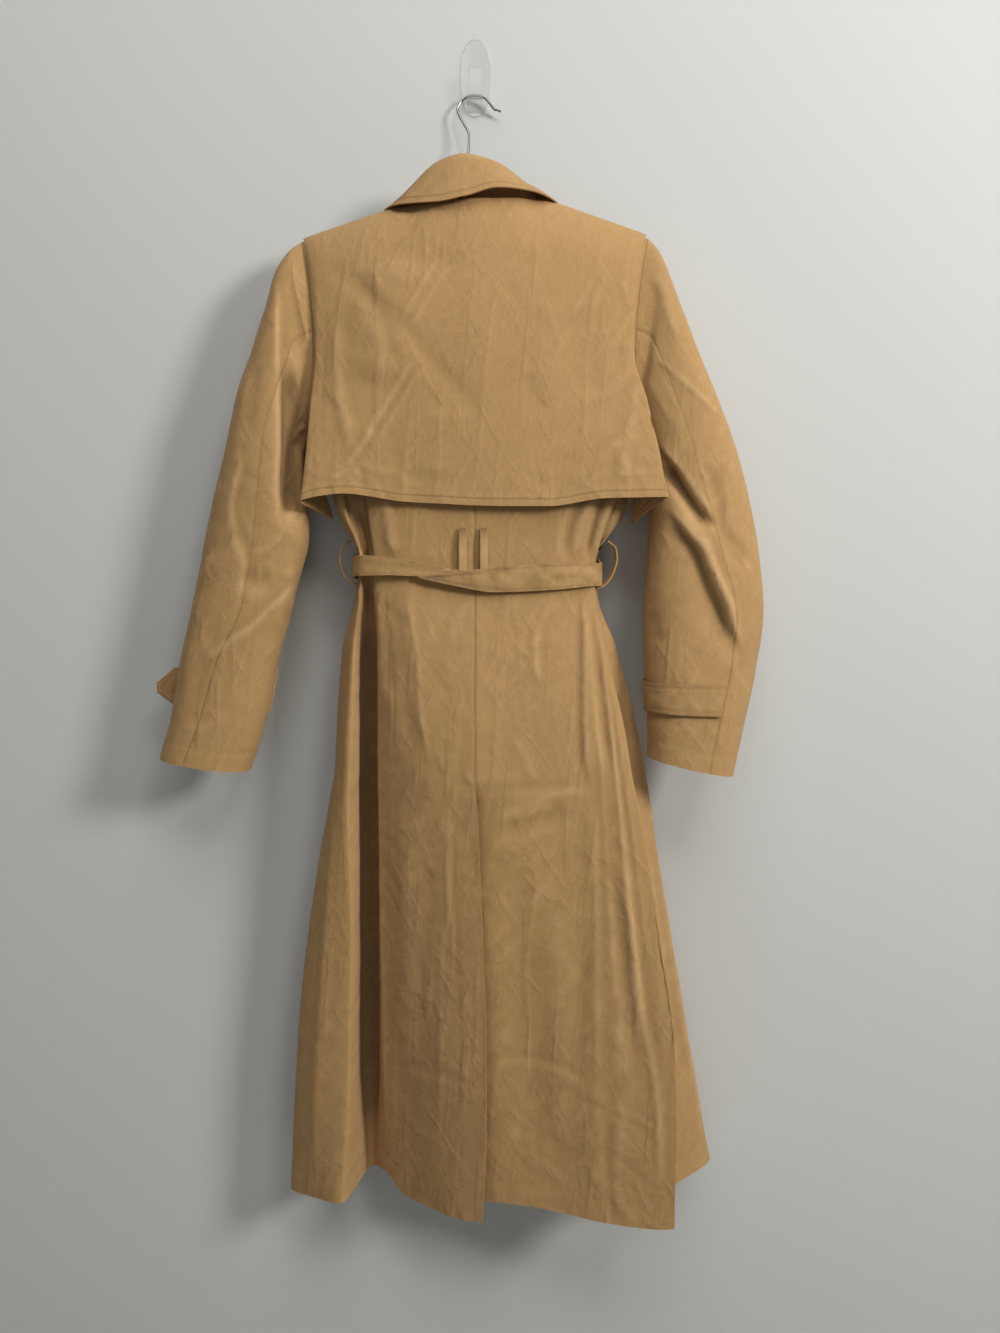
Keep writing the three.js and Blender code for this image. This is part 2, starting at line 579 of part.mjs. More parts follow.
const backLoop = { wide: 9, gap: 0.6, top: -523, bottom: -592, left: -13.5, right: 10.5 };
for (const side of ['left', 'right']) {
  const grid = spread(6, backLoop.top, backLoop.bottom).map((level) => spread(1, -0.5, 0.5).map((part) => {
    const x = backLoop[side] + part * backLoop.wide;
    return onPanel(x < 0 ? backLeft : backRight, x, level, true).add(place(0, backLoop.gap + cloth, 0));
  }));
  add(`back_loop_${side}`, wall(grid), fabric());
}

// A slack loop at each side: a strip that stands out round the belt, sewn to the side at both ends.
const sideLoopWide = 9;
const sideLoopCloth = 2;
const sideLoops = {
  left: {
    off: [60, 62],   // at its upper and its lower end
    side: -1,
    x: [-148.4, -158, -162, -159.5, -153, -146, -141],
    z: [-537, -545, -559, -573, -583, -587.5, -589.5],
  },
  right: {
    off: [66, 66],
    side: 1,
    x: [155.8, 165, 166.5, 163, 156.5, 151, 144],
    z: [-537, -546, -558, -573, -585.5, -591, -594],
  },
};
for (const [name, { off, side, x, z }] of Object.entries(sideLoops)) {
  const order = x.map((unused, i) => i);
  const grid = spread(12, 0, x.length - 1).map((where) => {
    const middle = off[0] + (off[1] - off[0]) * (where / (x.length - 1));
    return spread(1, -side / 2, side / 2).map((part) => (
      place(curve(order, x, where), middle - part * sideLoopWide, curve(order, z, where))));
  });
  add(`side_loop_${name}`, wall(grid, undefined, sideLoopCloth), fabric());
}

const beltKnot = { x: 4, halfWide: 13, halfTall: 22, off: 11, z: -568, dipAcross: 3, dipUp: 2 };
const knotGrid = spread(4, 1, -1).map((up) => spread(4, 1, -1).map((across) => place(
  beltKnot.x + across * beltKnot.halfWide,
  beltKnot.off + beltKnot.dipAcross * across ** 2 + beltKnot.dipUp * up ** 2,
  beltKnot.z + up * beltKnot.halfTall,
)));
add('belt_knot', wall(knotGrid), fabric());

// ---------- lapels and buttons ----------

// A lapel is the top of a front, turned back along the front's edge and lying on it.
const lapel = {
  gap: 0.6,
  fromEdge: 3,
  inner: { z: [-238, -330] },
  outer: { at: [0, 0.6, 1], x: [112, 68, 26], z: [-250, -300, -334] },
};
for (const [name, lines, side] of [['left', frontLeft, -1], ['right', frontRight, 1]]) {
  const edgeLine = side < 0 ? 0 : lines.length - 1;
  const grid = spread(6).map((down) => {
    const innerZ = lapel.inner.z[0] + (lapel.inner.z[1] - lapel.inner.z[0]) * down;
    const innerX = side * panelPoint(lines, edgeLine, innerZ, false).x + lapel.fromEdge;
    const outerX = Math.max(curve(lapel.outer.at, lapel.outer.x, down), innerX + lapel.fromEdge);
    const outerZ = curve(lapel.outer.at, lapel.outer.z, down);
    return spread(4, 1, 0).map((across) => {
      const x = side * (innerX + (outerX - innerX) * across);
      const z = innerZ + (outerZ - innerZ) * across;
      return onPanel(lines, x, z, false).add(place(0, -(lapel.gap + cloth), 0));
    });
  });
  add(`lapel_${name}`, wall(side < 0 ? grid.map((row) => [...row].reverse()) : grid), fabric());
}

// Small hard pieces lie flat on a panel: up is the direction that the piece's own shape faces.
function layOn(mesh, { lines, isBack, line, level, up, clear }) {
  const outward = outwardAt(lines, line, level, isBack);
  mesh.position.copy(panelPoint(lines, line, level, isBack)).addScaledVector(outward, clear);
  mesh.quaternion.setFromUnitVectors(up, outward);
}

const button = {
  radius: 11, thick: 3, edge: 0.6, rim: 1.5, dishRadius: 8, dish: 1, x: -60, gap: 0.5, sides: 14,
};
const buttonHeights = [-440, -505, -675, -745];
const buttonProfile = [
  [0, 0], [button.radius, button.edge], [button.radius, button.thick - button.edge],
  [button.radius - button.rim, button.thick], [button.dishRadius, button.thick - button.dish],
  [0, button.thick - button.dish],
].map(([r, y]) => new THREE.Vector2(r, y));
buttonHeights.forEach((z, i) => {
  const material = new THREE.MeshStandardMaterial({ color: 0x5a3d26, roughness: 0.35 });
  const mesh = add(`button_${i + 1}`, new THREE.LatheGeometry(buttonProfile, button.sides), material);
  layOn(mesh, {
    lines: frontRight, isBack: false, line: lineAt(frontRight, button.x, z, false), level: z,
    up: new THREE.Vector3(0, 1, 0), clear: button.gap,
  });
});

// A small ring on the right side, where the loop starts.
const eyelet = { line: 5.35, level: -545, ring: 3, wire: 0.8, gap: 0.8 };
const eyeletMesh = add('eyelet', new THREE.TorusGeometry(eyelet.ring, eyelet.wire, 6, 16),
  new THREE.MeshStandardMaterial({ color: 0x2b241c, metalness: 0.6, roughness: 0.4 }));
layOn(eyeletMesh, {
  lines: backRight, isBack: true, line: eyelet.line, level: eyelet.level,
  up: new THREE.Vector3(0, 0, 1), clear: eyelet.gap + eyelet.wire,
});

// ---------- hanger ----------

const rod = { radius: 4.5, drop: 7.6, off: 50.3, end: 172, sides: 8 };
const steel = { radius: 1.4, sides: 8 };

const circle = (radius, sides) => new THREE.Shape(
  spread(sides).slice(0, -1).map((t) => new THREE.Vector2(
    radius * Math.cos(2 * Math.PI * t), radius * Math.sin(2 * Math.PI * t))),
);

function rodAlong(points, radius, sides, steps) {
  const path = new THREE.CatmullRomCurve3(points, false, 'centripetal');
  return new THREE.ExtrudeGeometry(circle(radius, sides), { steps, extrudePath: path, bevelEnabled: false });
}

const armAt = (x) => place(x, rod.off, topSeam(x, false) - rod.drop);
const armPoints = [
  ...[-rod.end, -150, -120, -92].map(armAt),
  place(-50, rod.off, -160), place(0, rod.off, -154), place(50, rod.off, -157),
  ...[92, 120, 150, rod.end].map(armAt),
];
add('hanger_arms', rodAlong(armPoints, rod.radius, rod.sides, 34),
  new THREE.MeshStandardMaterial({ color: 0x2a2a2c, roughness: 0.4 }));

// From the tip of the hook over the wall hook and down to the arms.
const hookPoints = [
  [30, 9, -39.5], [26, 9, -37.5], [22.5, 9.2, -37], [17, 9.3, -30.4], [10, 9.4, -23.9],
  [1, 9.4, -22.2], [-9, 9.5, -23.3], [-16, 10, -28.5], [-19.6, 11, -35], [-20.5, 12, -40],
  [-18, 14, -47], [-12.5, 17, -57], [-8, 19.5, -66], [-7, 22, -75], [-7.5, 29, -96], [-6.5, 38, -124], [-4, 45, -141], [-1, 49.5, -148.9],
].map(([x, off, z]) => place(x, off, z));
add('hanger_hook', rodAlong(hookPoints, steel.radius, steel.sides, 48),
  new THREE.MeshStandardMaterial({ color: 0xb9bcc0, roughness: 0.25, metalness: 1 }));

// ---------- wall hook ----------

const plate = { halfWide: 17.6, halfTall: 42.5, thick: 2.6, bevel: 0.6, fullness: 0.87, sides: 40 };
const tongue = { wideTop: 13, wideRoot: 18, rootTop: -24, tipTop: 5 };

const wasm = await Module();
wasm.setup();

function solidOf(geometry) {
  const bare = geometry.clone();
  for (const name of Object.keys(bare.attributes)) if (name !== 'position') bare.deleteAttribute(name);
  const merged = BufferGeometryUtils.mergeVertices(bare, 1e-3);
  const mesh = new wasm.Mesh({
    numProp: 3,
    vertProperties: new Float32Array(merged.attributes.position.array),
    triVerts: new Uint32Array(merged.index.array),
  });
  return new wasm.Manifold(mesh);
}

function geometryOf(solid) {
  const mesh = solid.getMesh();
  const geometry = new THREE.BufferGeometry();
  geometry.setAttribute('position', new THREE.BufferAttribute(mesh.vertProperties, mesh.numProp));
  geometry.setIndex(new THREE.BufferAttribute(mesh.triVerts, 1));
  geometry.computeVertexNormals();
  return geometry;
}

const oval = spread(plate.sides).slice(0, -1).map((t) => {
  const fuller = (value) => Math.sign(value) * Math.abs(value) ** plate.fullness;
  const angle = 2 * Math.PI * t;
  const inset = plate.bevel;
  return new THREE.Vector2(
    (plate.halfWide - inset) * fuller(Math.cos(angle)), (plate.halfTall - inset) * fuller(Math.sin(angle)));
});
const plateGeometry = new THREE.ExtrudeGeometry(new THREE.Shape(oval), {
  depth: plate.thick - 2 * plate.bevel, bevelSize: plate.bevel, bevelThickness: plate.bevel, bevelSegments: 2,
});
plateGeometry.translate(0, 0, plate.bevel);
plateGeometry.rotateX(Math.PI / 2);

// The tongue's side view, from the plate round the outside to its tip and back down the cradle, as [off, z].
const tongueOutline = [
  [1, -39], [4, -37.6], [9, -34.6], [13.5, -30.2], [17, -24], [19, -15], [20, -5], [20.4, 3], [19.6, 5],
  [18, 5.4], [17, 3.6], [16.6, -5], [15.8, -14], [14.2, -21.4], [12, -24.8], [9.4, -25.8], [6.8, -25],
  [4.4, -21.6], [1, -18],
].map(([off, z]) => new THREE.Vector2(-off, z));
const tongueGeometry = new THREE.ExtrudeGeometry(new THREE.Shape(tongueOutline), {
  depth: tongue.wideRoot, steps: 1, bevelEnabled: false,
});
tongueGeometry.rotateX(Math.PI / 2);
tongueGeometry.rotateZ(Math.PI / 2);
tongueGeometry.translate(-tongue.wideRoot / 2, 0, 0);

// The tongue narrows towards its tip.
const corners = tongueGeometry.attributes.position;
for (let i = 0; i < corners.count; i += 1) {
  const rise = (corners.getZ(i) - tongue.rootTop) / (tongue.tipTop - tongue.rootTop);
  const up = THREE.MathUtils.clamp(rise, 0, 1);
  corners.setX(i, corners.getX(i) * (1 + up * (tongue.wideTop / tongue.wideRoot - 1)));
}

add('wall_hook', geometryOf(solidOf(plateGeometry).add(solidOf(tongueGeometry))),
  new THREE.MeshStandardMaterial({ color: 0xe8ecec, roughness: 0.05, transparent: true, opacity: 0.35 }));

export default coat;
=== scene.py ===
# A belted trench coat that hangs, back outwards, on a hanger from a clear stick-on wall hook.
# Tables are in millimetres: x to the right, off the distance from the wall, z up.
import math

import bmesh
import bpy
import numpy as np
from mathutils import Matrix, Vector


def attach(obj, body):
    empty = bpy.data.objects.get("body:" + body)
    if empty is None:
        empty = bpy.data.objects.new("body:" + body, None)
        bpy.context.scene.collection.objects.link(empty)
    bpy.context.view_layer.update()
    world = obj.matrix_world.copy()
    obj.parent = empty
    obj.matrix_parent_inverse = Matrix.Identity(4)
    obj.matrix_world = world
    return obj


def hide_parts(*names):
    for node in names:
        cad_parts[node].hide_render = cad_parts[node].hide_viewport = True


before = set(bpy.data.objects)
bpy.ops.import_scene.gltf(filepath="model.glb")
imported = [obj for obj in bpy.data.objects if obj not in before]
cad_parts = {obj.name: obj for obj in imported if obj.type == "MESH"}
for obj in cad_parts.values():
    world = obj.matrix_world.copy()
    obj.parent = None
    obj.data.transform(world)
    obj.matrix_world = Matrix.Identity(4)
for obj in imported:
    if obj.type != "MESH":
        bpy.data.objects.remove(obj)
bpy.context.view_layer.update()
print("frame loaded")

# ---- camera ----
view = {"place": (0.029, -1.25, -0.541), "down": 7.0, "lens": 27.03}
cameraData = bpy.data.cameras.new("camera")
cameraData.lens = view["lens"]
cameraData.sensor_width = 36
camera = bpy.data.objects.new("camera", cameraData)
camera.location = view["place"]
camera.rotation_euler = (math.radians(90 - view["down"]), 0, 0)
bpy.context.scene.collection.objects.link(camera)
bpy.context.scene.camera = camera


# ---- curves through tables ----
def curve(at, values, where):  # monotone cubic along the first axis of values
    at = np.asarray(at, float)
    values = np.asarray(values, float)
    if at[0] > at[-1]:
        at, values = at[::-1], values[::-1]
    wide = np.diff(at).reshape((-1,) + (1,) * (values.ndim - 1))
    step = np.diff(values, axis=0) / wide
    slope = np.empty_like(values)
    slope[0], slope[-1] = step[0], step[-1]
    product = step[:-1] * step[1:]
    total = np.where(product > 0, step[:-1] + step[1:], 1)
    slope[1:-1] = np.where(product > 0, 2 * product / total, 0)
    where = np.clip(np.atleast_1d(np.asarray(where, float)), at[0], at[-1])
    i = np.clip(np.searchsorted(at, where, side="right") - 1, 0, len(at) - 2)
    shape = (-1,) + (1,) * (values.ndim - 1)
    span = (at[i + 1] - at[i]).reshape(shape)
    t = ((where - at[i])).reshape(shape) / span
    return (
        (1 + 2 * t) * (1 - t) ** 2 * values[i]
        + t * (1 - t) ** 2 * span * slope[i]
        + t * t * (3 - 2 * t) * values[i + 1]
        + t * t * (t - 1) * span * slope[i + 1]
    )


def smooth(low, high, value):
    t = np.clip((value - low) / (high - low), 0, 1)
    return t * t * (3 - 2 * t)


def bell(distance, wide):  # 1 on a line, falling away to both sides
    return np.exp(-((distance / wide) ** 2))


def spaced(start, end, step, fineStart=(), fineEnd=()):  # even steps, with extra places near the ends
    sign = 1 if end > start else -1
    count = max(int(round(abs(end - start) / step)), 2)
    places = list(np.linspace(start, end, count + 1))
    extra = [start + sign * d for d in fineStart] + [end - sign * d for d in fineEnd]
    keep = [p for p in places if all(abs(p - e) > step * 0.35 for e in extra) or p in (places[0], places[-1])]
    return np.array(sorted(set(np.round(keep + extra, 6)), reverse=sign < 0))


# ---- creases ----
# shape, width, height and way (x, z): a dent or ridge is round, a fold is sharp, and a step is high on its
# left side and low on its right. A ledge is a step that stays high and low for longer.
def finer(way, step=7.0):
    way = np.array(way, float)
    run = np.concatenate([[0], np.cumsum(np.hypot(*np.diff(way, axis=0).T))])
    return curve(run, way, np.linspace(0, run[-1], max(int(run[-1] / step), 4)))


def creaseHeight(x, z, creases):
    height = np.zeros_like(x)
    for shape, wide, deep, way in creases.values():
        line = finer(way)
        reach = wide * (20 if shape == "ledge" else 4)
        near = (
            (x > line[:, 0].min() - reach) & (x < line[:, 0].max() + reach)
            & (z > line[:, 1].min() - reach) & (z < line[:, 1].max() + reach)
        )
        if not near.any():
            continue
        px, pz = x[near], z[near]
        best = np.full(px.shape, 1e9)
        side = np.zeros(px.shape)
        along = np.zeros(px.shape)
        for k in range(len(line) - 1):
            (ax, az), (bx, bz) = line[k], line[k + 1]
            dx, dz = bx - ax, bz - az
            size = dx * dx + dz * dz
            t = np.clip(((px - ax) * dx + (pz - az) * dz) / size, 0, 1)
            away = np.hypot(px - ax - t * dx, pz - az - t * dz)
            closer = away < best
            best = np.where(closer, away, best)
            side = np.where(closer, np.sign((px - ax) * dz - (pz - az) * dx), side)
            along = np.where(closer, (k + t) / (len(line) - 1), along)
        fade = smooth(0, 0.22, along) * smooth(0, 0.22, 1 - along)
        if shape == "fold":  # steep on one side, easy on the other
            bump = np.exp(-np.sqrt(best * best + 0.2 * wide) / (wide * np.where(side > 0, 0.7, 1.9)))
        elif shape == "ledge":
            bump = side * np.tanh(best / wide) * np.exp(-best / (wide * 7))
        elif shape == "step":
            bump = side * (best / wide) * np.exp(0.5 - 0.5 * (best / wide) ** 2)
        else:
            bump = bell(best, wide) * (-1 if shape == "dent" else 1)
        height[near] += deep * bump * fade
    for axis in (0, 1):  # softened by a point or two, as the mesh can't show a sharper edge
        ends = np.concatenate([np.take(height, [0], axis), height, np.take(height, [-1], axis)], axis)
        size = height.shape[axis]
        height = (np.take(ends, range(size), axis) + 2 * height + np.take(ends, range(2, size + 2), axis)) / 4
    return height


def lumps(x, z, size, seed):  # soft uneven ground, from a small table of seeded numbers
    table = np.random.default_rng(seed).uniform(-1, 1, (64, 64))
    u, v = x / size + 20, z / size + 40
    i, j = np.floor(u).astype(int), np.floor(v).astype(int)
    s, t = u - i, v - j
    s, t = s * s * (3 - 2 * s), t * t * (3 - 2 * t)
    pick = lambda a, b: table[a % 64, b % 64]
    return (
        pick(i, j) * (1 - s) * (1 - t) + pick(i + 1, j) * s * (1 - t)
        + pick(i, j + 1) * (1 - s) * t + pick(i + 1, j + 1) * s * t
    )


# way in degrees, length, width and height of the unplanned folds: long slanting ones, upright ones, small ones
ground = [
    (-58, 150, 44, 1.1), (34, 110, 38, 0.7), (84, 230, 40, 1.4), (-30, 60, 20, 0.5),
    (62, 60, 15, 0.7), (-75, 34, 9, 0.3), (40, 34, 9, 0.3),
]


def wrinkled(x, z, seed, strength=1.0):  # cloth left to itself: planes that meet in creases, in patches
    height = np.zeros_like(x)
    for number, (way, long, wide, tall) in enumerate(ground):
        turn = math.radians(way)
        along = (x * math.cos(turn) + z * math.sin(turn)) / long
        across = (z * math.cos(turn) - x * math.sin(turn)) / wide
        field = lumps(along, across + 0.35 * lumps(along * 1.7, across, 1, seed + 30), 1, seed + number)
        patch = smooth(-0.5, 0.45, lumps(x, z, 95, seed + 50 + number))
        height += tall * (np.abs(field) ** 0.85 - 0.35) * patch * (1 if number % 2 else -1)
    return height * strength


# ---- meshes ----
def addObject(name, data):
    piece = bpy.data.objects.new(name, data)
    bpy.context.scene.collection.objects.link(piece)
    return piece


def pickOnly(piece):
    bpy.ops.object.select_all(action="DESELECT")
    piece.select_set(True)
    bpy.context.view_layer.objects.active = piece


def gridNormals(grid, before=None, after=None):
    left = np.concatenate([grid[:, :1] if before is None else before[:, None], grid[:, :-1]], axis=1)
    right = np.concatenate([grid[:, 1:], grid[:, -1:] if after is None else after[:, None]], axis=1)
    down = np.empty_like(grid)
    down[1:-1] = grid[2:] - grid[:-2]
    down[0], down[-1] = grid[1] - grid[0], grid[-1] - grid[-2]
    normal = np.cross(down, right - left)
    return normal / np.maximum(np.linalg.norm(normal, axis=2, keepdims=True), 1e-9)


def runs(grid):  # how far each point lies across and down its piece, in mm
    across = np.concatenate([[0], np.cumsum(np.linalg.norm(np.diff(grid, axis=1), axis=2).mean(axis=0))])
    down = np.concatenate([[0], np.cumsum(np.linalg.norm(np.diff(grid, axis=0), axis=2).mean(axis=1))])
    return across, down


def crests(height, reach=3):  # how far each point stands above its surroundings
    around = height.copy()
    for axis in (0, 1):
        padded = np.concatenate([np.repeat(np.take(around, [0], axis), reach, axis), around,
                                 np.repeat(np.take(around, [-1], axis), reach, axis)], axis)
        size = around.shape[axis]
        around = sum(np.take(padded, range(k, k + size), axis) for k in range(2 * reach + 1)) / (2 * reach + 1)
    proud = height - around
    return np.maximum(proud, 0) * 1.2 + np.minimum(proud, 0) * 0.5


def hollows(height):  # the shade that gathers where a placed dent goes deep
    return 1.3 * smooth(2.0, 8.0, -height)


def clothShell(name, grid, thick=1.2, material=None, fold=None, before=None, after=None,
               nodes=(), held="hung", rests=()):
    rows, columns = grid.shape[:2]
    normal = gridNormals(grid, before, after)
    thickness = thick if np.isscalar(thick) else thick[..., None]
    inner = grid - normal * thickness
    points = np.concatenate([grid.reshape(-1, 3), inner.reshape(-1, 3)]) * 0.001
    index = np.arange(rows * columns).reshape(rows, columns)
    below = index + rows * columns

    def quads(a, b, c, d):
        return np.stack([a, b, c, d], axis=-1).reshape(-1, 4)

    faces = np.concatenate([
        quads(index[:-1, :-1], index[1:, :-1], index[1:, 1:], index[:-1, 1:]),
        quads(below[:-1, :-1], below[:-1, 1:], below[1:, 1:], below[1:, :-1]),
        quads(index[:-1, 0], below[:-1, 0], below[1:, 0], index[1:, 0]),
        quads(index[1:, -1], below[1:, -1], below[:-1, -1], index[:-1, -1]),
        quads(index[0, 1:], below[0, 1:], below[0, :-1], index[0, :-1]),
        quads(index[-1, :-1], below[-1, :-1], below[-1, 1:], index[-1, 1:]),
    ])
    mesh = bpy.data.meshes.new(name)
    mesh.from_pydata(points.tolist(), [], faces.tolist())
    across, down = runs(grid)
    flat = np.stack(np.meshgrid(across * 0.001, -down * 0.001), axis=-1).reshape(-1, 2)
    flat = np.concatenate([flat, flat])
    corner = np.empty(len(mesh.loops), int)
    mesh.loops.foreach_get("vertex_index", corner)
    layer = mesh.uv_layers.new(name="cut")
    layer.data.foreach_set("uv", flat[corner].ravel())
    # the fold attribute paints colour: below nought painted shade in hollows, seams and grooves, above nought crests
    # lighter, partly wear and partly painted sheen; the inner side gets none
    foldShadeSheenAndWear = np.zeros(rows * columns) if fold is None else np.clip(fold.ravel(), -1.5, 1)
    mesh.attributes.new("fold", "FLOAT", "POINT").data.foreach_set("value", np.concatenate([foldShadeSheenAndWear, foldShadeSheenAndWear * 0]))
    mesh.validate()
    piece = addObject(name, mesh)
    finishSurface(piece, material)
    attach(piece, "root")
    if nodes:
        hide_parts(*nodes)


def finishSurface(piece, material, angle=40):
    pickOnly(piece)
    bpy.ops.object.shade_smooth_by_angle(angle=math.radians(angle))
    piece.select_set(False)
    if material:
        piece.data.materials.clear()
        piece.data.materials.append(material)


# ---- finishes ----
def addGroup(name, inputs, outputs):
    group = bpy.data.node_groups.new(name, "ShaderNodeTree")
    for label, kind, value in inputs:
        group.interface.new_socket(label, in_out="INPUT", socket_type=kind).default_value = value
    for label, kind in outputs:
        group.interface.new_socket(label, in_out="OUTPUT", socket_type=kind)
    return group, group.nodes.new("NodeGroupInput"), group.nodes.new("NodeGroupOutput")


def fill(tree, node, inputs):  # another node's socket is linked, any other value is set
    for key, value in inputs.items():
        if isinstance(value, bpy.types.NodeSocket):
            tree.links.new(value, node.inputs[key])
        else:
            node.inputs[key].default_value = value


def put(tree, kind, inputs=None, **settings):
    node = tree.nodes.new(kind)
    for key, value in settings.items():
        setattr(node, key, value)
    fill(tree, node, inputs or {})
    return node


def mixColour(tree, how, amount, first, second):
    node = put(tree, "ShaderNodeMix", {"Factor": amount, 6: first, 7: second}, data_type="RGBA", blend_type=how)
    return node.outputs[2]


def maths(tree, how, first, second=0.0, clamp=False):
    return put(tree, "ShaderNodeMath", {0: first, 1: second}, operation=how, use_clamp=clamp).outputs[0]


def newMaterial(name):
    material = bpy.data.materials.new(name)
    material.use_nodes = True
    return material, material.node_tree, material.node_tree.nodes["Principled BSDF"]


# way in degrees, stretch, sharpness and weight of the fine pressed lines in the cloth's bump
pressedLines = [
    (-56, (0.12, 0.06, 0.026), 12.0, 1.1), (60, (0.14, 0.06, 0.034), 11.0, 0.8),
    (-86, (0.32, 0.06, 0.036), 11.0, 1.4),
]


# twill: slanting ribs of thread, a soft mottle, painted shade in the hollows of folds and crests painted lighter
# (partly wear, partly painted sheen), and small creases in the bump
def makeTwillGroup():
    group, start, end = addGroup(
        "twillCloth",
        [("Colour", "NodeSocketColor", (0.4, 0.25, 0.12, 1)), ("Rib", "NodeSocketFloat", 0.9),
         ("Mottle", "NodeSocketFloat", 0.5), ("ShadeSheenAndWear", "NodeSocketFloat", 0.5),
         ("Relief", "NodeSocketFloat", 0.5)],
        [("Colour", "NodeSocketColor"), ("Roughness", "NodeSocketFloat"), ("Normal", "NodeSocketVector")],
    )

    def plus(first, second, clamp=False):
        return maths(group, "ADD", first, second, clamp)

    def minus(first, second, clamp=False):
        return maths(group, "SUBTRACT", first, second, clamp)

    def times(first, second, clamp=False):
        return maths(group, "MULTIPLY", first, second, clamp)

    def noise(where, scale, **more):
        return put(group, "ShaderNodeTexNoise", {"Vector": where, "Scale": scale, **more})

    flat = put(group, "ShaderNodeUVMap", uv_map="cut").outputs[0]
    place = put(group, "ShaderNodeTexCoord").outputs["Object"]
    slant = put(group, "ShaderNodeMapping", {"Vector": flat, "Rotation": (0, 0, math.radians(63))})
    ribs = put(group, "ShaderNodeTexWave",
               {"Vector": slant.outputs[0], "Scale": 330, "Distortion": 1.2, "Detail": 2, "Detail Scale": 1.6},
               wave_type="BANDS", bands_direction="X").outputs["Fac"]
    stretch = put(group, "ShaderNodeMapping", {"Vector": flat, "Scale": (1, 0.3, 1)}).outputs[0]
    yarn = noise(stretch, 900, Detail=2).outputs["Fac"]
    slub = noise(stretch, 330, Detail=2).outputs["Fac"]
    patches = noise(place, 9, Detail=4, Roughness=0.6).outputs["Fac"]
    foldShadeSheenAndWear = put(group, "ShaderNodeAttribute", attribute_name="fold", attribute_type="GEOMETRY").outputs["Fac"]
    # high lightens the crests, partly wear and partly painted sheen; low is painted shade in hollows, seams and
    # grooves
    high = times(maths(group, "MAXIMUM", foldShadeSheenAndWear, 0.0), start.outputs["ShadeSheenAndWear"])
    low = times(maths(group, "MAXIMUM", times(foldShadeSheenAndWear, -1.0), 0.0), start.outputs["ShadeSheenAndWear"])

    spread = times(times(minus(patches, 0.5), start.outputs["Mottle"]), 0.45)
    thread = times(minus(plus(yarn, slub), 1.0), 0.2)
    rib = times(minus(ribs, 0.5), 0.06)
    level = plus(plus(spread, thread), plus(rib, 1.0))
    # painted: darker where the fold attribute is low, lighter where it is high
    level = plus(level, minus(times(high, 0.3), times(low, 0.5)))
    tone = put(group, "ShaderNodeCombineColor", {0: level, 1: level, 2: level})
    colour = mixColour(group, "MULTIPLY", 1.0, start.outputs["Colour"], tone.outputs[0])
    # crests mixed towards a paler tan: partly wear, partly painted sheen
    paler = mixColour(group, "MIX", times(high, 0.25, True), colour, (0.66, 0.5, 0.32, 1))
    rough = plus(minus(0.86, times(high, 0.22)), times(thread, 0.6), True)

    crumple = noise(place, 55, Detail=3, Roughness=0.45, Distortion=0.8)
    bent = put(group, "ShaderNodeVectorMath", {0: crumple.outputs["Color"], 1: (0.03, 0.03, 0.03), 2: place},
               operation="MULTIPLY_ADD").outputs[0]
    facets = put(group, "ShaderNodeTexVoronoi", {"Vector": bent, "Scale": 15}, feature="DISTANCE_TO_EDGE")
    here = times(minus(noise(place, 6.5).outputs["Fac"], 0.47), 5.0, True)
    crest = times(times(minus(0.16, facets.outputs["Distance"], True), 6.0), here)
    for turn, sizes, sharp, weight in pressedLines:
        pressed = put(group, "ShaderNodeMapping",
                      {"Vector": place, "Location": (turn * 0.01, 0.3, 0.2),
                       "Rotation": (0, math.radians(turn), 0), "Scale": sizes},
                      vector_type="TEXTURE").outputs[0]
        away = maths(group, "ABSOLUTE", minus(noise(pressed, 1, Detail=1).outputs["Fac"], 0.5))
        thin = minus(1.0, times(away, sharp), True)
        kept = times(minus(noise(pressed, 2.2).outputs["Fac"], 0.49), 6.0, True)
        crest = plus(crest, times(times(thin, kept), weight))
    large = put(group, "ShaderNodeBump",
                {"Strength": start.outputs["Relief"], "Distance": 0.0016,
                 "Height": plus(times(crumple.outputs["Fac"], 0.9), crest)})
    weave = put(group, "ShaderNodeBump",
                {"Strength": start.outputs["Rib"], "Distance": 0.00022,
                 "Height": plus(times(ribs, 0.6), yarn), "Normal": large.outputs[0]})
    fill(group, end, {"Colour": paler, "Roughness": rough, "Normal": weave.outputs[0]})
    return group


twillGroup = makeTwillGroup()
coatColour = (0.44, 0.262, 0.107, 1)


# one setting scales the painted shade and the lighter crests that the fold attribute brings
def makeTwill(name, colour, rib=0.8, mottle=0.25, shadeSheenAndWear=0.6, relief=0.35):
    material, tree, shader = newMaterial(name)
    cloth = put(tree, "ShaderNodeGroup", node_tree=twillGroup)
    fill(tree, cloth, {"Colour": colour, "Rib": rib, "Mottle": mottle, "ShadeSheenAndWear": shadeSheenAndWear, "Relief": relief})
    fill(tree, shader, {
        "Base Color": cloth.outputs["Colour"], "Roughness": cloth.outputs["Roughness"],
        "Normal": cloth.outputs["Normal"], "Sheen Weight": 0.1, "Sheen Roughness": 0.45,
        "Sheen Tint": (1, 0.9, 0.75, 1), "Specular IOR Level": 0.2,
    })
    return material


twill = makeTwill("coat twill", coatColour)
twillFine = makeTwill("coat twill, small pieces", coatColour, mottle=0.3, relief=0.2)
twillThread = makeTwill("sewing thread", (0.50, 0.32, 0.155, 1), rib=0.2, mottle=0.2, shadeSheenAndWear=0)


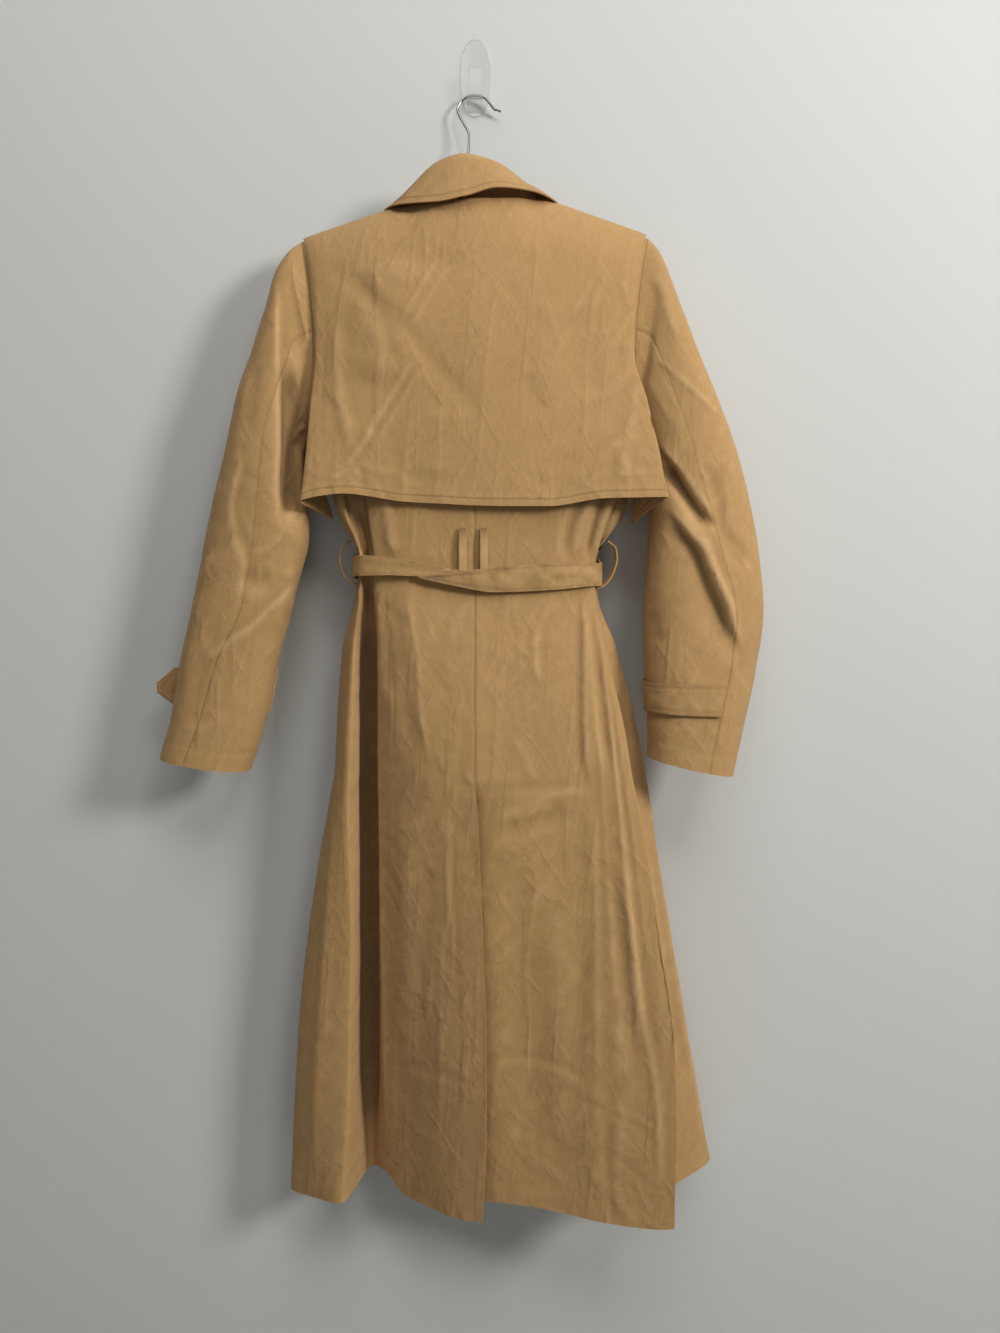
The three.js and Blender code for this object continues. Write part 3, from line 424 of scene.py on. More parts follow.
def makePlain(name, colour, roughness, metallic=0.0, grainScale=300.0, grain=0.1, tint=0.08):
    material, tree, shader = newMaterial(name)
    place = put(tree, "ShaderNodeTexCoord").outputs["Object"]
    noise = put(tree, "ShaderNodeTexNoise", {"Vector": place, "Scale": grainScale, "Detail": 3}).outputs["Fac"]
    darker = tuple(c * (1 - tint * 2) for c in colour[:3]) + (1,)
    rough = put(tree, "ShaderNodeMapRange",
                {"Value": noise, "To Min": roughness * 0.85, "To Max": min(roughness * 1.15, 1)})
    bump = put(tree, "ShaderNodeBump", {"Height": noise, "Strength": grain, "Distance": 0.0002})
    fill(tree, shader, {
        "Base Color": mixColour(tree, "MIX", noise, darker, colour), "Roughness": rough.outputs[0],
        "Normal": bump.outputs[0], "Metallic": metallic,
    })
    return material


hangerPlastic = makePlain("hanger plastic", (0.022, 0.022, 0.024, 1), 0.42)
hookSteel = makePlain("bright steel wire", (0.27, 0.27, 0.275, 1), 0.24, metallic=1.0,
                      grainScale=900, grain=0.04, tint=0.03)
buttonHorn = makePlain("button, brown horn", (0.12, 0.06, 0.028, 1), 0.3, grainScale=160, grain=0.05, tint=0.25)
eyeletMetal = makePlain("dark eyelet", (0.05, 0.04, 0.03, 1), 0.35, metallic=0.9)


def makeClear():  # clear where it is seen straight on, with grey and bright lines at its rims; the face is painted the pale grey of the wall seen through it, and the rims a painted darker grey
    material, tree, shader = newMaterial("clear moulded plastic")

    def ranged(value, **ends):
        return put(tree, "ShaderNodeMapRange",
                   {"Value": value, **{key.replace("_", " "): end for key, end in ends.items()}}).outputs[0]

    place = put(tree, "ShaderNodeTexCoord").outputs["Object"]
    noise = put(tree, "ShaderNodeTexNoise", {"Vector": place, "Scale": 120}).outputs["Fac"]
    rim = put(tree, "ShaderNodeLayerWeight", {"Blend": 0.35}).outputs["Facing"]
    turned = ranged(rim, From_Min=0.12, From_Max=0.5)
    solid = ranged(turned, To_Min=0.3, To_Max=0.9)
    # clear plastic lets most of the light through to the wall
    shadow = ranged(put(tree, "ShaderNodeLightPath").outputs["Is Shadow Ray"], To_Min=1, To_Max=0.22)
    fill(tree, shader, {
        # painted: the face a pale grey like the wall seen through it, and a darker grey where the rims turn from the
        # view
        "Base Color": mixColour(tree, "MIX", turned, (0.66, 0.67, 0.66, 1), (0.2, 0.21, 0.21, 1)),
        "Roughness": ranged(noise, To_Min=0.03, To_Max=0.12), "IOR": 1.49,
        "Alpha": maths(tree, "MULTIPLY", solid, shadow),
    })
    return material


clearPlastic = makeClear()
print("finishes made")


# ---- body of the coat ----
# Each row is a fold line from its seam at the top to the hem: name, height of the hem, x and off at each level.
levels = [-160, -232, -330, -420, -495, -562, -605, -660, -760, -815, -850, -1000, -1120, -1230, -1342]
backLeft = [
    ("side seam", -1346,
     [-198, -190, -183, -185, -164, -136, -140, -152, -162, -166, -170, -183, -193, -200, -203],
     [48, 68, 74, 54, 66, 74, 75, 79, 84, 86, 88, 92, 96, 98, 98]),
    ("side fold", -1341,
     [-168, -160, -154, -164, -152, -132, -134, -141, -147, -150, -152, -150, -154, -158, -166],
     [50, 78, 84, 78, 82, 86, 88, 92, 96, 98, 98, 100, 104, 108, 115]),
    ("deep pleat", -1339,
     [-140, -134, -130, -139, -135, -125, -124, -124, -125, -127, -128, -131, -133, -135, -138],
     [50, 83, 90, 86, 72, 66, 62, 59, 56, 54, 52, 49, 47, 45, 45]),
    ("pleat edge", -1328,
     [-115, -112, -110, -120, -121, -118, -117, -116, -117, -119, -119, -119, -119, -119, -116],
     [50, 86, 94, 92, 92, 88, 88, 86, 82, 80, 78, 75, 73, 71, 72]),
    ("quarter", -1347,
     [-88, -86, -85, -92, -96, -98, -97, -95, -92, -90, -88, -86, -84, -82, -82],
     [52, 88, 96, 96, 97, 94, 96, 100, 104, 102, 101, 98, 97, 97, 98]),
    ("pressed fold", -1347,
     [-45, -50, -55, -60, -68, -76, -74, -68, -58, -50, -44, -42, -42, -41, -40],
     [70, 90, 98, 99, 99, 97, 100, 108, 116, 117, 117, 119, 121, 123, 127]),
    ("centre back", -1342,
     [0, 0, 0, 0, 0, 0, 0, 0, 0, 0, 3, 9, 13, 13, 8],
     [77, 91, 100, 101, 99, 98, 101, 110, 122, 125, 127, 134, 140, 146, 150]),
]
backRight = [
    ("vent lap", -1344,
     [0, 0, 0, 0, 0, 0, 0, 0, 0, 0, -28, -28, -28, -28, -30],
     [77, 91, 100, 101, 99, 98, 101, 110, 121, 121, 115, 114, 111, 106, 102]),
    ("near the vent", -1344,
     [38, 38, 39, 42, 42, 40, 40, 42, 42, 42, 40, 42, 46, 50, 56],
     [71, 90, 98, 99, 98, 97, 100, 107, 115, 117, 117, 115, 112, 112, 116]),
    ("quarter", -1347,
     [80, 76, 78, 84, 86, 84, 85, 88, 92, 94, 95, 100, 104, 106, 110],
     [52, 88, 96, 97, 97, 94, 97, 104, 111, 112, 113, 115, 118, 122, 128]),
    ("soft fold", -1349,
     [120, 116, 118, 126, 126, 118, 119, 123, 130, 134, 138, 144, 145, 147, 155],
     [50, 85, 92, 92, 93, 88, 91, 99, 108, 111, 113, 121, 128, 134, 141]),
    ("ridge", -1348,
     [150, 146, 146, 156, 153, 132, 134, 143, 158, 164, 169, 185, 199, 205, 200],
     [50, 80, 87, 86, 89, 84, 87, 96, 107, 112, 115, 127, 137, 145, 152]),
    ("fold edge", -1342,
     [172, 167, 163, 174, 169, 139, 141, 152, 175, 184, 192, 216, 233, 236, 234],
     [50, 75, 82, 72, 78, 79, 81, 88, 102, 108, 112, 128, 141, 151, 160]),
    ("side seam, in the fold", -1339,
     [198, 190, 184, 186, 178, 141, 141, 148, 169, 178, 186, 208, 223, 226, 223],
     [48, 68, 74, 54, 62, 68, 67, 68, 74, 77, 79, 86, 93, 99, 104]),
]
frontRight = [
    ("side", -1318,
     [178, 176, 172, 184, 180, 143, 146, 167, 194, 205, 211, 238, 259, 277, 296],
     [48, 27, 23, 38, 48, 54, 54, 54, 54, 54, 54, 56, 58, 60, 60]),
    ("turn", -1334,
     [150, 150, 144, 158, 156, 127, 131, 147, 172, 182, 188, 210, 230, 244, 254],
     [48, 25, 20, 20, 24, 34, 33, 28, 22, 20, 20, 18, 18, 18, 18]),
    ("middle", -1340,
     [112, 96, 84, 72, 70, 62, 64, 70, 80, 84, 86, 96, 104, 110, 114],
     [49, 22, 17, 16, 21, 29, 28, 22, 17, 15, 15, 14, 14, 14, 14]),
    ("front edge", -1342,
     [82, 54, 6, -62, -85, -85, -85, -85, -85, -85, -85, -85, -85, -85, -85],
     [50, 20, 14, 12, 18, 27, 25, 18, 13, 12, 12, 11, 11, 11, 11]),
]
frontLeft = [
    ("front edge", -1336,
     [-82, -54, -6, 62, 85, 85, 85, 85, 85, 85, 85, 85, 85, 85, 85],
     [50, 24, 20, 20, 26, 35, 33, 26, 21, 20, 20, 19, 19, 19, 19]),
    ("middle", -1338,
     [-112, -96, -84, -72, -70, -62, -64, -70, -80, -84, -86, -92, -96, -100, -104],
     [49, 24, 20, 20, 26, 35, 33, 27, 22, 20, 20, 19, 19, 19, 19]),
    ("turn", -1344,
     [-150, -150, -144, -156, -148, -122, -126, -136, -146, -152, -158, -180, -194, -202, -208],
     [48, 25, 21, 22, 28, 38, 37, 32, 27, 25, 24, 22, 21, 20, 20]),
    ("side", -1350,
     [-178, -176, -172, -182, -164, -137, -143, -158, -167, -171, -178, -205, -220, -229, -236],
     [48, 27, 23, 38, 50, 58, 58, 60, 62, 62, 62, 64, 66, 68, 70]),
]
shoulder = {"x": 198, -1: -197, 1: -193, "off": 48}
neckSide = {"x": 80, -1: -160, 1: -154}
neckBack = -162
armpit = -408
yokeLevel = -232
calfLevel = -1230


def frontSeam(row):  # the fronts share the side seams with the back below the armpit
    return (row[0], row[1], row[2], [48, 28, 22] + row[3][3:])


frontRight = [frontSeam(backRight[6])] + frontRight
frontLeft = frontLeft + [frontSeam(backLeft[0])]


def armholeLoop(side, angle):  # points of the armhole: angle 0 at the shoulder, a quarter turn at the back
    top = shoulder[side]
    z = (top + armpit) / 2 + (top - armpit) / 2 * np.cos(angle)
    x = curve([top, -232, -290, -350, armpit], [198, 190.5, 184, 182.5, 185.5], z)
    off = shoulder["off"] + 6 * np.sin(angle / 2) ** 2 + 27 * np.sin(angle)
    return np.stack([side * x, -off, z], axis=-1)


def topSeam(x, isBack):
    side = np.where(x < 0, neckSide[-1], neckSide[1])
    end = np.where(x < 0, shoulder[-1], shoulder[1])
    across = np.abs(x)
    along = np.maximum((across - neckSide["x"]) / (shoulder["x"] - neckSide["x"]), 0)
    seam = side + (end - side) * along
    if isBack:
        seam = np.where(across < neckSide["x"],
                        neckBack + (side - neckBack) * (across / neckSide["x"]) ** 2, seam)
    return seam


def hungPoints(lines, lineLevels, places, heights, isBack, free, rise=0):  # grid of heights x places
    order = np.arange(len(lines))
    x, off = (curve(order, curve(lineLevels, np.array([row[k] for row in lines], float).T, heights).T, places).T
              for k in (2, 3))
    hem = curve(order, [row[1] for row in lines], places)[None, :]
    level = np.asarray(heights, float)[:, None] + 0 * x
    down = np.clip((level - lineLevels[0]) / (yokeLevel - lineLevels[0]), 0, 1)
    top = topSeam(x, isBack) + rise
    z = np.where(level > yokeLevel, top + (yokeLevel - top) * down ** 1.6, level)
    z = np.where(level < free, free + (hem - free) * (level - free) / (lineLevels[-1] - free), z)
    return np.stack([x, -off, z], axis=-1)


def panelPoints(lines, places, heights, isBack):
    return hungPoints(lines, levels, places, heights, isBack, calfLevel)


def sideSeamPoints(side, heights):
    lines, line = (backLeft, 0) if side < 0 else (backRight, 6)
    return panelPoints(lines, [line], heights, True)[:, 0]


def panelGrid(lines, isBack, side, seamFirst, heights, places):
    grid = panelPoints(lines, places, heights, isBack)
    seamColumn = 0 if seamFirst else -1
    seam = grid[:, seamColumn].copy()
    top = shoulder[side]
    angle = np.arccos(np.clip((2 * seam[:, 2] - top - armpit) / (top - armpit), -1, 1)) * (1 if isBack else -1)
    seam = np.where((seam[:, 2] >= armpit)[:, None], armholeLoop(side, angle), sideSeamPoints(side, heights))
    shift = seam - grid[:, seamColumn]
    seamPlace = 0 if seamFirst else len(lines) - 1
    fade = np.clip(1 - np.abs(places - seamPlace) / 0.5, 0, 1)
    return grid + shift[:, None] * fade[None, :, None]


bodyMade = {"step": 3.8, "across": 2.0, "hemTurn": 26}
hemDrops = [1.2, 3, 5.5, 8.5, 12, 16, 20, 24, 27, 31]  # extra rows over the hem, as levels
heights = spaced(levels[0], levels[-1], bodyMade["step"], fineStart=[1.5, 3], fineEnd=hemDrops)


def linePlaces(lines, step, fineStart=(), fineEnd=()):  # fold line places, with fine columns beside the ends
    count = len(lines) - 1
    middle = panelPoints(lines, np.linspace(0, count, 80), [-700], True)[0]
    wide = np.linalg.norm(np.diff(middle, axis=0), axis=1).sum() / count
    even = spaced(0, count, step / wide)
    extra = [d / wide for d in fineStart] + [count - d / wide for d in fineEnd]
    keep = [p for p in even if all(abs(p - e) > 0.3 * step / wide for e in extra) or p in (0, count)]
    return np.unique(np.round(sorted(keep + extra), 6))


# a sewn seam: a groove with small puckers beside it
def seamDip(distance, z, wide=1.5, deep=0.8, pucker=0.35, seed=5):
    groove = -deep * bell(distance, wide)
    ripple = pucker * lumps(distance * 0.6, z, 7.5, seed) * bell(distance - 5, 5)
    return groove + ripple


def hemRidge(distance, turn, rise=0.5):  # the folded hem is a little thicker, with a step at its top
    return rise * (1 - smooth(turn - 2, turn + 2, distance)) - 0.25 * bell(distance - turn, 2)


def raised(grid, height, before=None, after=None):
    return grid + gridNormals(grid, before, after) * height[..., None]


backCreases = {
    "pleat, deep": ("dent", 8, 12.0,
        [(-126, -560), (-126, -680), (-128, -815), (-131, -1000), (-134, -1150), (-138, -1360)]),
    "pleat lip": ("fold", 4, 3.0, [(-112, -575), (-113, -690), (-115, -850), (-115, -1050), (-114, -1330)]),
    "waist gap, left, outer": ("dent", 2.6, 3.4, [(-148, -479), (-144, -504), (-137, -532), (-129, -556)]),
    "waist gap, left": ("dent", 3.0, 5.0, [(-130, -476), (-127, -514), (-123, -539), (-119, -560)]),
    "waist tube, left": ("ridge", 5, 3.0, [(-137, -479), (-134, -514), (-128, -542), (-124, -557)]),
    "waist tube, outer": ("ridge", 5, 2.2, [(-156, -479), (-152, -514), (-144, -545)]),
    "waist ridge, left": ("ridge", 8, 2.6, [(-101, -482), (-98, -524), (-92, -556)]),
    "waist gap, right, outer": ("dent", 3, 3.6, [(172, -480), (158, -511), (149, -539), (143, -561)]),
    "waist gap, right": ("dent", 3.4, 3.4, [(151, -479), (136, -522), (129, -560)]),
    "waist tube, right": ("ridge", 5, 2.6, [(162, -480), (147, -517), (137, -556)]),
    "waist dent, right": ("dent", 5, 2.4, [(128, -479), (110, -519), (103, -557)]),
    "waist ridge, right": ("ridge", 6, 2.0, [(139, -480), (123, -519), (115, -557)]),
    "waist seam, left": ("dent", 1.6, 0.5, [(-61, -497), (-62, -560)]),
    "waist seam, right": ("dent", 1.6, 0.5, [(90, -497), (91, -560)]),
    "left pressed line": ("fold", 2.2, 1.7,
        [(-82, -588), (-73, -631), (-66, -672), (-64, -728), (-57, -771), (-53, -807)]),
    "left dent beside it": ("dent", 9, 1.6, [(-95, -594), (-84, -663), (-78, -733), (-72, -793)]),
    "left pleat crease": ("dent", 6, 1.5, [(-105, -596), (-101, -652), (-97, -722)]),
    "long pressed line": ("fold", 2.1, 1.3,
        [(-31, -824), (-33, -883), (-33, -956), (-39, -1017), (-42, -1075), (-43, -1186), (-45, -1221),
         (-40, -1300)]),
    "beside the long line": ("dent", 10, 0.8,[(-50, -836), (-53, -956), (-61, -1079), (-60, -1206)]),
    "small fold at the seam": ("fold", 2.6, 1.2, [(-11, -797), (-7, -811), (-1, -822)]),
    "ridge over the vent": ("fold", 3, 1.5, [(41, -759), (57, -784), (68, -818)]),
    "ridge, right of centre": ("ridge", 4, 1.6, [(74, -636), (70, -666), (75, -702)]),
    "triangle, upper side": ("fold", 3, 1.3,
        [(18, -864), (43, -850), (69, -840), (104, -831), (135, -823)]),
    "triangle, lower side": ("fold", 3, 1.1, [(18, -864), (41, -859), (67, -852), (100, -845)]),
    "triangle hollow": ("dent", 10, 1.6, [(29, -873), (64, -864), (110, -847)]),
    "pressed across": ("step", 4, 0.4, [(-29, -824), (29, -826), (87, -824), (141, -824)]),
    "pressed across, low": ("step", 5, 0.5, [(14, -1162), (53, -1157), (100, -1164), (136, -1183)]),
    "pressed across, low left": ("step", 5, 0.4, [(-100, -1179), (-54, -1174), (5, -1182)]),
    "dark fold, right": ("ledge", 3, -2.6,
        [(122, -591), (124, -651), (124, -721), (127, -792), (138, -831)]),
    "dark fold, right, second": ("dent", 5, 3.4, [(134, -600), (141, -674), (150, -756), (158, -810)]),
    "light ridge, right": ("fold", 2.4, 1.5,
        [(141, -826), (140, -894), (141, -954), (142, -1076), (143, -1183), (140, -1239)]),
    "dent left of the ridge": ("dent", 7, 1.0, [(126, -834), (126, -954), (126, -1076), (125, -1183)]),
    "fan, first": ("fold", 2.2, 1.6,
        [(143, -640), (158, -760), (168, -860), (178, -960), (188, -1080), (196, -1200)]),
    "fan, second": ("fold", 2.2, 1.3, [(134, -700), (146, -800), (152, -900), (160, -1010), (166, -1130)]),
    "fan, third": ("dent", 3.4, 1.6, [(150, -680), (168, -800), (184, -920), (198, -1040), (208, -1160)]),
    "outer ridge": ("ridge", 5, 1.8,
        [(169, -891), (180, -969), (193, -1069), (204, -1128), (212, -1178), (221, -1314)]),
    "dent beside the outer ridge": ("dent", 7, 1.8, [(158, -903), (169, -987), (179, -1072), (195, -1185)]),
    "low crease": ("dent", 5, 1.5, [(160, -1208), (158, -1273), (164, -1354)]),
    "small diagonal 1": ("fold", 2.6, 0.9, [(20, -1012), (35, -997), (55, -976)]),
    "small diagonal 2": ("fold", 2.6, 0.9, [(29, -1029), (50, -1012), (71, -985)]),
    "small diagonal 3": ("dent", 5, 1, [(52, -960), (76, -930), (85, -901)]),
    "small diagonal 4": ("fold", 2.6, 0.9, [(114, -1131), (135, -1111), (151, -1083)]),
    "small diagonal 5": ("dent", 5, 1, [(100, -1086), (121, -1061), (134, -1027)]),
    "small diagonal 6": ("fold", 2.8, 0.9, [(-27, -908), (-15, -886), (3, -870)]),
    "small diagonal 7": ("dent", 5, 1, [(-77, -962), (-60, -937), (-46, -920)]),
    "small diagonal 8": ("fold", 2.6, 0.8, [(-85, -1102), (-66, -1085), (-49, -1077)]),
    "small diagonal 9": ("dent", 5, 0.9, [(-28, -1089), (-13, -1064), (3, -1052)]),
    "small diagonal 10": ("fold", 2.4, 0.8, [(58, -1229), (77, -1211), (103, -1201)]),
    "broad roll, left": ("ridge", 16, 2.2, [(-83, -838), (-84, -959), (-83, -1083), (-87, -1210)]),
    "broad hollow, right of the vent": ("dent", 22, 2.4,
        [(52, -908), (57, -1029), (65, -1155), (63, -1283)]),
    "broad roll, right": ("ridge", 18, 2.2, [(99, -918), (102, -1027), (105, -1151), (109, -1279)]),
}


def backPanel(lines, side, seamFirst):
    centreEnd, seamEnd = [0.7, 1.6, 2.8, 4.4, 6.4], [1, 2.4]
    ends = (seamEnd, centreEnd) if seamFirst else (centreEnd, seamEnd)
    places = linePlaces(lines, bodyMade["across"], *ends)
    grid = panelGrid(lines, True, side, seamFirst, heights, places)
    x, z = grid[..., 0], grid[..., 2]
    centre = np.abs(x - (grid[:, -1:, 0] if seamFirst else grid[:, :1, 0]))
    placed = creaseHeight(x, z, backCreases)
    calm = 0.15 + 0.85 * smooth(-480, -640, z)
    inside = smooth(0, 12, np.abs(x - grid[:, :1, 0])), smooth(0, 12, np.abs(x - grid[:, -1:, 0]))
    height = placed + wrinkled(x, z, 11) * calm * inside[0] * inside[1]
    # painted: crests lighter (wear and painted sheen), painted shade in the placed dents and troughs
    fold = crests(height) - hollows(placed)
    aboveVent = smooth(-835, -815, z)
    height += seamDip(centre, z) * aboveVent
    if seamFirst:  # the left half laps over the right below the vent's top
        lap = hemRidge(centre, 30, 0.5) + 0.3 * lumps(x * 0.2, z, 30, 9) * bell(centre, 12)
        height += lap * (1 - aboveVent)
    hemAway = z - grid[-1:, :, 2]
    height += hemRidge(hemAway, bodyMade["hemTurn"]) + 0.7 * lumps(x, z * 0.3, 13, 21) * bell(hemAway, 22)
    sideSeam = np.linalg.norm(grid - (grid[:, :1] if seamFirst else grid[:, -1:]), axis=2)
    height += seamDip(sideSeam, z, 1.6, 0.7, 0.4, 8) * smooth(-395, -420, z)
    if not seamFirst:  # the right half lies in the shade of the lap
        past = x - curve(levels, backLeft[6][2], heights)[:, None]
        fold -= 1.1 * np.exp(-np.maximum(past, 0) / 9) * (1 - aboveVent)
    # painted shade along the centre seam above the vent and along the hem's turn line
    fold += -0.55 * bell(centre, 1.6) * aboveVent - 0.3 * bell(hemAway - bodyMade["hemTurn"], 2.2)
    return grid, height, fold


backLeftGrid, backLeftHeight, backLeftFold = backPanel(backLeft, -1, True)
backRightGrid, backRightHeight, backRightFold = backPanel(backRight, 1, False)


def frontPanel(lines, side, seamFirst, creases, seed):
    places = linePlaces(lines, 6.5, fineStart=[1.2, 3], fineEnd=[1.2, 3])
    frontHeights = spaced(levels[0], levels[-1], 6.5, fineStart=[2], fineEnd=[1.5, 4, 8, 14, 20, 26, 30])
    grid = panelGrid(lines, False, side, seamFirst, frontHeights, places)
    x, z = grid[..., 0], grid[..., 2]
    seam = np.linalg.norm(grid - (grid[:, :1] if seamFirst else grid[:, -1:]), axis=2)
    edge = np.linalg.norm(grid - (grid[:, -1:] if seamFirst else grid[:, :1]), axis=2)
    height = creaseHeight(x, z, creases) + wrinkled(x, z, seed) * smooth(0, 14, seam)
    # painted: crests lighter (wear and painted sheen), painted shade in the troughs
    fold = crests(height)
    hemAway = z - grid[-1:, :, 2]
    height += hemRidge(hemAway, 26) + hemRidge(edge, 8, 0.3)
    height += seamDip(seam, z, 1.6, 0.7, 0.4, 8) * smooth(-395, -420, z)
    return grid, height, fold


frontCreases = {
    "from the armhole": ("dent", 12, 2.2, [(150, -330), (120, -400), (100, -470)]),
    "to the waist": ("fold", 4, 1.4, [(128, -420), (112, -480), (96, -540)]),
    "under the belt": ("ridge", 9, 2.0, [(96, -600), (112, -720), (130, -860), (150, -1020)]),
    "beside it": ("dent", 12, 2.0, [(60, -610), (70, -760), (84, -900), (96, -1080)]),
    "long pressed line": ("fold", 4, 1.4, [(0, -600), (4, -800), (2, -1000), (6, -1200)]),
    "across, low": ("step", 6, 1.0, [(-60, -1060), (20, -1070), (120, -1055)]),
    "left of the middle": ("dent", 13, 1.8, [(-60, -610), (-64, -800), (-60, -1000), (-70, -1180)]),
    "left side": ("ridge", 10, 1.9, [(-100, -600), (-120, -760), (-140, -930), (-150, -1120)]),
    "left chest": ("dent", 11, 1.8, [(-150, -330), (-124, -400), (-104, -470)]),
    "side, right": ("fold", 4, 1.6, [(176, -640), (204, -800), (232, -980), (262, -1180)]),
    "flare, right": ("dent", 9, 2.2, [(214, -860), (240, -1040), (262, -1220)]),
    "flare, right, low": ("ridge", 6, 1.8, [(250, -1040), (272, -1180), (284, -1290)]),
}
frontRightGrid, frontRightHeight, frontRightFold = frontPanel(frontRight, 1, True, frontCreases, 31)
frontLeftGrid, frontLeftHeight, frontLeftFold = frontPanel(frontLeft, -1, False, frontCreases, 37)


def neighbour(grid, column, rows):  # a column of the next piece, at this piece's rows
    source = grid[:, column]
    return np.stack([np.interp(-rows[:, 2], -source[:, 2], source[:, k]) for k in range(3)], axis=-1)


backLeftBefore = neighbour(frontLeftGrid, -2, backLeftGrid[:, 0])
backRightAfter = neighbour(frontRightGrid, 1, backRightGrid[:, -1])
backLeftDone = raised(backLeftGrid, backLeftHeight, before=backLeftBefore)
backRightDone = raised(backRightGrid, backRightHeight, after=backRightAfter)
rests = ["hanger_arms"]
for name, node, done, fold, beside in (
    ("backLeftHalf", "back_left", backLeftDone, backLeftFold, {"before": backLeftBefore}),
    ("backRightHalf", "back_right", backRightDone, backRightFold, {"after": backRightAfter}),
    ("frontRightHalf", "front_right", raised(frontRightGrid, frontRightHeight), frontRightFold, {}),
    ("frontLeftHalf", "front_left", raised(frontLeftGrid, frontLeftHeight), frontLeftFold, {}),
):
    clothShell(name, done, material=twill, fold=fold, nodes=[node], rests=rests, **beside)
print("body made")


# ---- storm flap ----
flapMade = {"free": -321, "rise": 3, "stitch": 7.2, "rows": 2.1}
flapLevels = [-160, -232, -321, -383, -430, -495]
flapLines = [
    ("left end", -512,
     [-197, -189, -181.5, -185, -186, -168],
     [50, 71.5, 80, 74, 67, 55]),
    ("left return", -502,
     [-192, -186, -181, -187, -190, -186],
     [51, 75, 83, 84, 84, 80]),
    ("left fold", -494,
     [-184, -179, -178, -185, -189, -196],
     [52, 79, 87, 93, 99, 106]),
    ("left quarter", -485,
     [-130, -128, -128, -134, -140, -146],
     [53, 88, 98, 101, 105, 110]),
    ("left blade", -494,
     [-84, -80, -78, -78, -79, -80],
     [54, 93, 103, 105, 107, 108]),
    ("left neck", -496,
     [-45, -44, -42, -41, -40, -42],
     [74, 96, 105, 107, 108, 109]),
    ("centre", -498,
     [0, 0, 2, 0, -2, -4],
     [81, 98, 107, 108, 109, 109]),
    ("right neck", -499,
     [44, 42, 40, 39, 38, 40],
     [74, 96, 104, 106, 108, 109]),
    ("right blade", -499,
     [82, 78, 76, 78, 82, 86],
     [54, 93, 102, 104, 106, 109]),
    ("right quarter", -490,
     [130, 128, 128, 136, 142, 150],
     [53, 88, 96, 99, 104, 111]),
    ("right fold", -489,
     [184, 179, 178, 196, 206, 218],
     [52, 79, 87, 93, 100, 109]),
    ("right return", -502,
     [192, 186, 181, 191, 198, 201],
     [51, 75, 83, 84, 87, 88]),
    ("right end", -519,
     [197, 189, 181.5, 185, 187, 184],
     [50, 71.5, 80, 73, 68, 62]),
]
flapCreases = {
    "long dent from the shoulder": ("dent", 11, 1.3,
        [(-167, -227), (-123, -261), (-87, -293), (-49, -336), (-10, -379), (18, -417)]),
    "dent beside it": ("dent", 10, 1.6, [(-141, -234), (-112, -274), (-91, -322), (-85, -373)]),
    "double ridge": ("fold", 2.6, 1.5, [(-39, -225), (-61, -261), (-84, -298)]),
    "double ridge, second": ("fold", 2.4, 1, [(-28, -234), (-53, -274), (-73, -306)]),
    "short ridge": ("fold", 2.4, 0.9, [(-116, -236), (-104, -259)]),
    "pressed line": ("step", 3, 0.9, [(-63, -336), (-101, -395), (-138, -453), (-154, -469)]),
    "pressed line, second": ("fold", 2.2, 0.8, [(-56, -341), (-92, -397), (-126, -450)]),
    "left ridge": ("ridge", 8, 2.2, [(-154, -287), (-152, -368), (-141, -415), (-134, -450)]),
    "star, up": ("fold", 2.4, 1.3, [(-128, -453), (-121, -430), (-110, -413)]),
    "star, left": ("fold", 2.4, 1.2, [(-128, -453), (-149, -463), (-167, -468)]),
    "star, down": ("dent", 4, 1.2, [(-128, -453), (-124, -470), (-127, -483)]),
    "star, right": ("fold", 2.4, 0.9, [(-128, -453), (-106, -461), (-86, -463)]),
    "centre line": ("fold", 2.6, 0.8, [(33, -220), (22, -277), (13, -345), (4, -445), (-3, -492)]),
    "right armhole ridge": ("fold", 3, 1.4, [(162, -247), (171, -263), (174, -281)]),
    "crown, left": ("ridge", 34, 5.0, [(-70, -216), (-84, -262), (-98, -312), (-112, -370)]),
    "right armhole dent": ("dent", 7, 0.9, [(166, -318), (165, -344), (174, -352)]),
    "right plane edge": ("ledge", 3, -1.0, [(181, -350), (175, -393), (166, -437), (156, -483)]),
    "right lower ridge": ("fold", 3, 1.4, [(168, -421), (153, -434), (137, -448)]),
    "right fork, down": ("fold", 2.6, 1.2, [(168, -421), (159, -435), (166, -450), (175, -462)]),
    "right cross ridge": ("fold", 2.6, 1.2, [(159, -465), (175, -464), (196, -462)]),
    "soft dent, right of centre": ("dent", 12, 1.2, [(52, -351), (65, -373), (79, -397)]),
    "broad hollow, right": ("dent", 26, 2, [(112, -274), (123, -328), (130, -382)]),
    "broad crown, left of centre": ("ridge", 26, 1.6, [(-38, -382), (-44, -426), (-50, -470)]),
}

